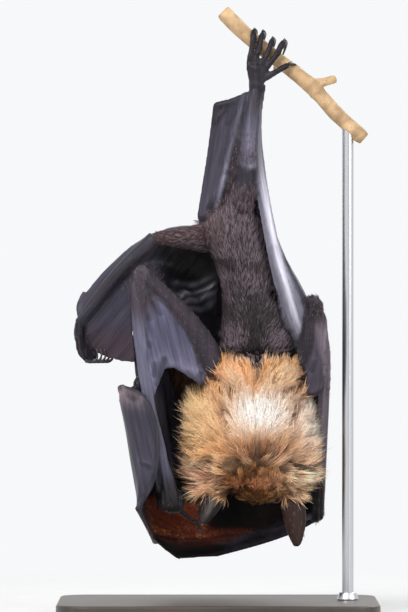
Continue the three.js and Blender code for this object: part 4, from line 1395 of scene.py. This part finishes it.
def build_chest_coat(sampler, rng):
    """Long brown hair of the chest that shows in the opening under the right wing."""

    def thickness(p):
        x, y, z = p.T / MM
        across = smoothstep(-46, -40, x) * smoothstep(-12, -20, x)
        return across * smoothstep(124, 138, z) * smoothstep(182, 172, z)

    roots = sampler.scatter(["plagiopatagium_left_belly", "web_4_5_left"], 1.6, rng, thickness)
    roots = roots.only(roots.normal[:, 1] < 0)
    lie = np.tile([-0.45, 0.0, -1.0], (len(roots.place), 1)) + drift(roots.place, 0.01, 17) * 0.5
    style = {
        "length": 9.0,
        "width": 0.36,
        "lift": 30.0,
        "droop": 12.0,
        "rings": 4,
        "per_clump": 12,
        "streaky": 0.35,
    }
    base = np.tile(linear("7a5644"), (len(roots.place), 1))
    lay_coat(
        "chest_coat", roots, lie, style, (base * 0.4, base * 1.5), "mantle_fur",
        unwrap_round((-0.03, 0.05, 0.1), (-0.03, 0.05, 0.2)), rng,
    )


COATS = (build_mantle, build_back, build_limb_coats, build_head_coat, build_fuzz, build_chest_coat)


def build_coats(scene):
    skin = bpy.data.objects.get("skin")
    if skin is None:
        raise RuntimeError("build the skin before the coat")
    sampler = SkinSampler(skin, scene.bat_coat)
    for index, build in enumerate(COATS):
        build(sampler, np.random.default_rng(SEED + index))


class BAT_OT_coat(Step, bpy.types.Operator):
    """Lay the tufts of the mantle, back, head, limbs, elbows and chest over the skin"""

    bl_idname = "bat.build_coat"
    bl_label = "Coat"
    build = staticmethod(build_coats)


# ---- eyes and claws -----------------------------------------------------------------------------
def eye_material():
    material, tree, shader = new_material(
        "Wet brown eye", Roughness=0.06, IOR=1.38, Coat_Weight=0.6, Coat_Roughness=0.02
    )
    iris = attribute(tree, "iris")
    fibre = ranged(tree, cloudy(tree, object_place(tree), 2600.0, 3.0), 0.35, 0.65)
    colour = mixed(tree, fibre, (0.07, 0.024, 0.008, 1), (0.16, 0.06, 0.018, 1))
    colour = mixed(tree, ranged(tree, iris, 0.90, 0.92), colour, (0.004, 0.003, 0.003, 1))
    rim = ranged(tree, iris, 0.60, 0.68, 1.0, 0.0)
    link(tree, shader, Base_Color=mixed(tree, rim, colour, (0.03, 0.012, 0.008, 1)))
    return material


def build_eyes(scene):
    material = eye_material()
    for name in ("eye_left", "eye_right"):
        centre, radius, axis = eye_ball(name)
        bm = bmesh.new()
        bmesh.ops.create_uvsphere(bm, u_segments=32, v_segments=20, radius=radius * 0.97)
        bmesh.ops.rotate(bm, verts=bm.verts, matrix=axis.to_track_quat("Z", "Y").to_matrix())
        for vert in bm.verts:
            front = vert.co.normalized().dot(axis)
            vert.co *= 1 + 0.035 * max(0.0, (front - 0.8) / 0.2)
        bmesh.ops.translate(bm, verts=bm.verts, vec=centre)
        mesh = mesh_from(bm, name + "_ball")
        facing = unit(coordinates(mesh) - np.array(centre)) @ np.array(axis)
        set_attribute(mesh, "iris", "FLOAT", facing)
        shade_smooth(mesh)
        mesh.materials.append(material)
        finished(object_from(name + "_ball", mesh), "eye", name)


class BAT_OT_eyes(Step, bpy.types.Operator):
    """Build the two wet brown eyes"""

    bl_idname = "bat.build_eyes"
    bl_label = "Eyes"
    build = staticmethod(build_eyes)


def rounded_copy(name, nodes, grow, levels, crease_angle):
    """Copies of CAD nodes as one smooth mesh, grown to make up for what the rounding takes off."""
    whole = bmesh.new()
    for part in nodes:
        bm = merged_copy(part)
        crease_sharp_edges(bm, crease_angle)
        whole.from_mesh(mesh_from(bm, part + "_part"))
    piece = object_from("rounded", mesh_from(whole, "rounded"))
    round_and_grow(piece, levels, grow)
    mesh = evaluated(piece)
    mesh.name = name
    return mesh


def claw_material():
    coat = {"Coat_Weight": 0.2, "Coat_Roughness": 0.2}
    material, tree, shader = new_material("Black claw", IOR=1.5, **coat)
    streak = cloudy(tree, object_place(tree), 900.0, 4.0)
    pale = ranged(tree, streak, 0.35, 0.7)
    colour = mixed(tree, pale, (0.010, 0.009, 0.011, 1), (0.035, 0.03, 0.034, 1))
    link(tree, shader, Base_Color=colour, Roughness=ranged(tree, streak, 0.3, 0.7, 0.22, 0.4))
    embossed(tree, shader, 0.3, 0.0002, streak)
    return material


def build_claws(scene):
    mesh = rounded_copy("claws", CLAWS, 0.26, 2, 80)
    shade_smooth(mesh)
    mesh.materials.append(claw_material())
    finished(object_from("claws", mesh), "horn", *CLAWS)


class BAT_OT_claws(Step, bpy.types.Operator):
    """Build the curved claws of the feet, thumbs and second fingers"""

    bl_idname = "bat.build_claws"
    bl_label = "Claws"
    build = staticmethod(build_claws)


# ---- perch and stand ----------------------------------------------------------------------------
PERCH_WAY = Vector((0.72, 0.0, -0.69)).normalized()
PERCH_SIDE = (0.69, 0, 0.72)


def bark_material():
    material, tree, shader = new_material("Tan bark")
    body = object_place(tree)
    grain = streaks(tree, attribute(tree, "bark_place", "Vector"), 700.0, 60.0, 4.0)
    cloud = cloudy(tree, body, 110.0, 4.0)
    dots = node(tree, "ShaderNodeTexVoronoi", None, Vector=body, Scale=210.0).outputs[0]
    fibres = ranged(tree, grain, 0.3, 0.7)
    bark = mixed(tree, fibres, (0.34, 0.20, 0.095, 1), (0.72, 0.50, 0.28, 1))
    bark = mixed(tree, ranged(tree, cloud, 0.42, 0.68, 0.0, 0.7), bark, (0.24, 0.15, 0.08, 1))
    bark = mixed(tree, ranged(tree, dots, 0.05, 0.14, 0.55, 0.0), bark, (0.10, 0.055, 0.03, 1))
    wood = mixed(tree, fibres, (0.50, 0.33, 0.17, 1), (0.66, 0.48, 0.28, 1))
    colour = mixed(tree, attribute(tree, "cut"), bark, wood)
    link(tree, shader, Base_Color=colour, Roughness=ranged(tree, grain, 0.3, 0.7, 0.6, 0.82))
    embossed(tree, shader, 0.7, 0.0007, worked(tree, "MULTIPLY_ADD", cloud, 1.5, grain))
    return material


def build_perch(scene):
    mesh = rounded_copy("perch_bark", ["perch"], 0.75, 3, 84)
    co = coordinates(mesh)
    out = normals(mesh)
    low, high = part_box("perch")
    along = (co - np.array(low)) @ np.array(PERCH_WAY)
    rings = sum(bump(along, spot, 0.0022) for spot in np.linspace(0.012, 0.118, 6) - 0.03)
    lumps = speckle(co, 0.011, 3) * 0.55 + speckle(co, 0.004, 5) * 0.16
    cut = smoothstep(0.75, 0.9, np.abs(out @ np.array(PERCH_WAY)))
    move = (lumps + rings * 0.35) * (1 - cut) * MM
    co = co + out * move[:, None]
    co = np.clip(co, np.array(low), np.array(high))
    move_vertices(mesh, co)
    turn = np.arctan2(co[:, 1] - 0.006, (co - np.array(low)) @ np.array(PERCH_SIDE)) * 0.005
    bark_place = np.column_stack([turn, along, np.zeros(len(co))])
    set_attribute(mesh, "bark_place", "FLOAT_VECTOR", bark_place)
    set_attribute(mesh, "cut", "FLOAT", cut)
    shade_smooth(mesh)
    mesh.materials.append(bark_material())
    finished(object_from("perch_bark", mesh), "bark", "perch")


class BAT_OT_perch(Step, bpy.types.Operator):
    """Build the cut length of branch"""

    bl_idname = "bat.build_perch"
    bl_label = "Perch"
    build = staticmethod(build_perch)


def stand_wood_material():
    material, tree, shader = new_material("Dark stained wood", Coat_Weight=0.25, Coat_Roughness=0.3)
    place, quarter = object_place(tree), (0, 0, math.pi / 2)
    turned = node(tree, "ShaderNodeMapping", None, Vector=place, Rotation=quarter)
    grain = streaks(tree, turned.outputs[0], 260.0, 9.0, 5.0)
    pale = ranged(tree, grain, 0.3, 0.7)
    colour = mixed(tree, pale, (0.018, 0.012, 0.009, 1), (0.062, 0.042, 0.030, 1))
    link(tree, shader, Base_Color=colour, Roughness=ranged(tree, grain, 0.3, 0.7, 0.42, 0.55))
    embossed(tree, shader, 0.25, 0.0003, grain)
    return material


def steel_material():
    material, tree, shader = new_material("Brushed steel", Metallic=1.0)
    brushed = streaks(tree, object_place(tree), 2600.0, 90.0, 2.0)
    pale = ranged(tree, brushed, 0.3, 0.7)
    colour = mixed(tree, pale, (0.46, 0.47, 0.49, 1), (0.60, 0.61, 0.63, 1))
    link(tree, shader, Base_Color=colour, Roughness=ranged(tree, brushed, 0.3, 0.7, 0.26, 0.4))
    return material


class BatStandSettings(bpy.types.PropertyGroup):
    corner: metres("Base corner", "Radius of the base's corners", 0.022, 0.0, 0.05)
    edge: metres("Base edge", "Width of the bevel round the base", 0.0015, 0.0, 0.005)


COLLAR_HEIGHT = 0.005
COLLAR_EDGE = 0.0006
COLLAR_FOOT, COLLAR_TOP = 0.98, 0.75  # its radius below and above, as shares of the rod's foot


def bevelled(bm, edges, offset, segments):
    bmesh.ops.bevel(
        bm, geom=edges, offset=offset, offset_type="OFFSET", affect="EDGES",
        segments=segments, profile=0.5, material=-1, clamp_overlap=True,
    )


def rise(edge):
    return abs(edge.verts[0].co.z - edge.verts[1].co.z)


def build_base(settings):
    low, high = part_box("stand_base")
    size = high - low
    bm = bmesh.new()
    bmesh.ops.create_cube(bm, size=1.0)
    bmesh.ops.scale(bm, verts=bm.verts, vec=size)
    bmesh.ops.translate(bm, verts=bm.verts, vec=(high + low) / 2)
    bevelled(bm, [e for e in bm.edges if rise(e) > size.z / 2], settings.corner, 10)
    level = [e for e in bm.edges if rise(e) < 1e-6 and e.calc_face_angle(0.0) > 1.0]
    bevelled(bm, level, settings.edge, 3)
    mesh = mesh_from(bm, "stand_base_wood")
    mesh.materials.append(stand_wood_material())
    finished(object_from("stand_base_wood", mesh), "stand_wood", "stand_base")


def build_rod():
    """The rod, and the collar that it stands in."""
    low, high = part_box("stand_rod")
    middle = (high + low) / 2
    foot = (high.x - low.x) / 2
    bm = bmesh.new()

    def add_cone(below, above, depth, height):
        return bmesh.ops.create_cone(
            bm, cap_ends=True, segments=48, radius1=below, radius2=above, depth=depth,
            matrix=Matrix.Translation((middle.x, middle.y, height)),
        )

    add_cone(foot / 2, foot / 2, high.z - low.z, middle.z)
    middle_height = low.z + COLLAR_HEIGHT / 2
    collar = add_cone(foot * COLLAR_FOOT, foot * COLLAR_TOP, COLLAR_HEIGHT, middle_height)
    rims = {e for v in collar["verts"] for e in v.link_edges if e.calc_face_angle(0.0) > 0.9}
    bevelled(bm, list(rims), COLLAR_EDGE, 3)
    bm.normal_update()
    for face in bm.faces:
        face.smooth = True
    for edge in bm.edges:
        edge.smooth = edge.calc_face_angle(0.0) < math.radians(35)
    mesh = mesh_from(bm, "stand_rod_steel")
    mesh.materials.append(steel_material())
    finished(object_from("stand_rod_steel", mesh), "stand_steel", "stand_rod")


def build_stand(scene):
    build_base(scene.bat_stand)
    build_rod()


class BAT_OT_stand(Step, bpy.types.Operator):
    """Build the flat wooden base and the steel rod"""

    bl_idname = "bat.build_stand"
    bl_label = "Stand"
    build = staticmethod(build_stand)


# ---- the stage ----------------------------------------------------------------------------------
class BatStageSettings(bpy.types.PropertyGroup):
    distance: metres("Camera distance", "How far the camera stands from the bat", 4.0, 1.0, 20.0)
    view_height: metres("Height in view", "Height in view at the bat", 0.4284, 0.1, 2.0)
    key: number("Key light", "Power of the main light, in watts", 31.0, 0.0, 500.0)
    rim: number("Rim light", "Power of the light behind, in watts", 9.0, 0.0, 500.0)
    sky: number("Fill", "Strength of the even light", 0.46, 0.0, 2.0)


LIT_SPOT = Vector((0.0, 0.0, 0.22))  # what the lights point at
CAMERA_X, CAMERA_Z = -0.0098, 0.218
ROOM_WHITE = (0.93, 0.94, 0.95, 1)
FILL_SHARE = 0.28  # the fill light's power as a share of the main light's


def area_light(name, place, size, power):
    data = bpy.data.lights.new(name, "AREA")
    data.size = size
    data.energy = power
    lamp = object_from(name, data)
    lamp.location = place
    lamp.rotation_euler = (LIT_SPOT - Vector(place)).to_track_quat("-Z", "Y").to_euler()


def seen_by(tree, *rays):
    """One for rays of the named kinds, from the Light Path node."""
    path = node(tree, "ShaderNodeLightPath")
    seen = path.outputs[rays[0]]
    for ray in rays[1:]:
        seen = worked(tree, "MAXIMUM", seen, path.outputs[ray])
    return seen


def floor_material():
    """A pale floor that keeps the object's shadow and fades into the room's white further out."""
    material, tree, shader = new_material("Pale floor", Roughness=0.9)
    place = object_place(tree)
    speck = ranged(tree, cloudy(tree, place, 30.0, 2.0), 0.3, 0.7)
    link(tree, shader, Base_Color=mixed(tree, speck, (0.80, 0.80, 0.79, 1), (0.83, 0.83, 0.82, 1)))
    far = node(tree, "ShaderNodeVectorMath", {"operation": "LENGTH"}, i0=place).outputs["Value"]
    seen = seen_by(tree, "Is Camera Ray", "Is Glossy Ray")
    share = worked(tree, "MULTIPLY", ranged(tree, far, 0.16, 0.7), seen)
    glow = node(tree, "ShaderNodeEmission", None, Color=ROOM_WHITE, Strength=1.0).outputs[0]
    both = node(tree, "ShaderNodeMixShader", None, i0=share, i1=shader.outputs[0], i2=glow)
    tree.links.new(both.outputs[0], tree.nodes["Material Output"].inputs["Surface"])
    return material


def build_world(scene, sky):
    """A room that looks white to the camera and lights the bat more softly than it looks."""
    scene.world = bpy.data.worlds.new("Pale room")
    scene.world.use_nodes = True
    tree = scene.world.node_tree
    background = tree.nodes["Background"]
    seen = seen_by(tree, "Is Glossy Ray", "Is Transmission Ray", "Is Camera Ray")
    background.inputs["Color"].default_value = ROOM_WHITE
    link(tree, background, Strength=ranged(tree, seen, 0.0, 1.0, sky, 1.0))


def build_stage(scene):
    settings = scene.bat_stage
    bm = bmesh.new()
    bmesh.ops.create_grid(bm, x_segments=2, y_segments=2, size=3.0)
    mesh = mesh_from(bm, "floor")
    floor = object_from("floor", mesh)
    mesh.materials.append(floor_material())
    build_world(scene, settings.sky)
    area_light("key", (-0.7, -1.3, 1.35), 0.9, settings.key)
    area_light("fill", (1.1, -0.9, 0.7), 0.8, settings.key * FILL_SHARE)
    area_light("rim", (0.7, 0.9, 1.1), 0.6, settings.rim)

    data = bpy.data.cameras.new("camera")
    camera = object_from("camera", data)
    camera.location = (CAMERA_X, -settings.distance, CAMERA_Z)
    camera.rotation_euler = (math.radians(90), 0, 0)
    data.lens = data.sensor_width * settings.distance / settings.view_height
    data.clip_start, data.clip_end = 0.1, 50
    scene.camera = camera
    scene.view_settings.view_transform = "Standard"


class BAT_OT_stage(Step, bpy.types.Operator):
    """Set up the pale floor, the soft light and the camera"""

    bl_idname = "bat.build_stage"
    bl_label = "Stage"
    build = staticmethod(build_stage)


class BAT_PT_panel(bpy.types.Panel):
    bl_label = "Roosting fruit bat"
    bl_idname = "BAT_PT_panel"
    bl_space_type = "VIEW_3D"
    bl_region_type = "UI"
    bl_category = "Bat"

    def draw(self, context):
        for operator in OPERATORS:
            self.layout.operator(operator.bl_idname)


OPERATORS = (
    BAT_OT_skin,
    BAT_OT_coat,
    BAT_OT_eyes,
    BAT_OT_claws,
    BAT_OT_perch,
    BAT_OT_stand,
    BAT_OT_stage,
)
SETTINGS = {
    "bat_skin": BatSkinSettings,
    "bat_coat": BatCoatSettings,
    "bat_stand": BatStandSettings,
    "bat_stage": BatStageSettings,
}


def register():
    for group in (*SETTINGS.values(), *OPERATORS, BAT_PT_panel):
        bpy.utils.register_class(group)
    for name, group in SETTINGS.items():
        setattr(bpy.types.Scene, name, PointerProperty(type=group))


def unregister():
    for name in SETTINGS:
        delattr(bpy.types.Scene, name)
    for group in reversed((*SETTINGS.values(), *OPERATORS, BAT_PT_panel)):
        bpy.utils.unregister_class(group)


def main():
    register()
    bpy.ops.bat.build_skin()
    bpy.ops.bat.build_coat()
    bpy.ops.bat.build_eyes()
    bpy.ops.bat.build_claws()
    bpy.ops.bat.build_perch()
    bpy.ops.bat.build_stand()
    bpy.ops.bat.build_stage()


if __name__ == "__main__":
    main()
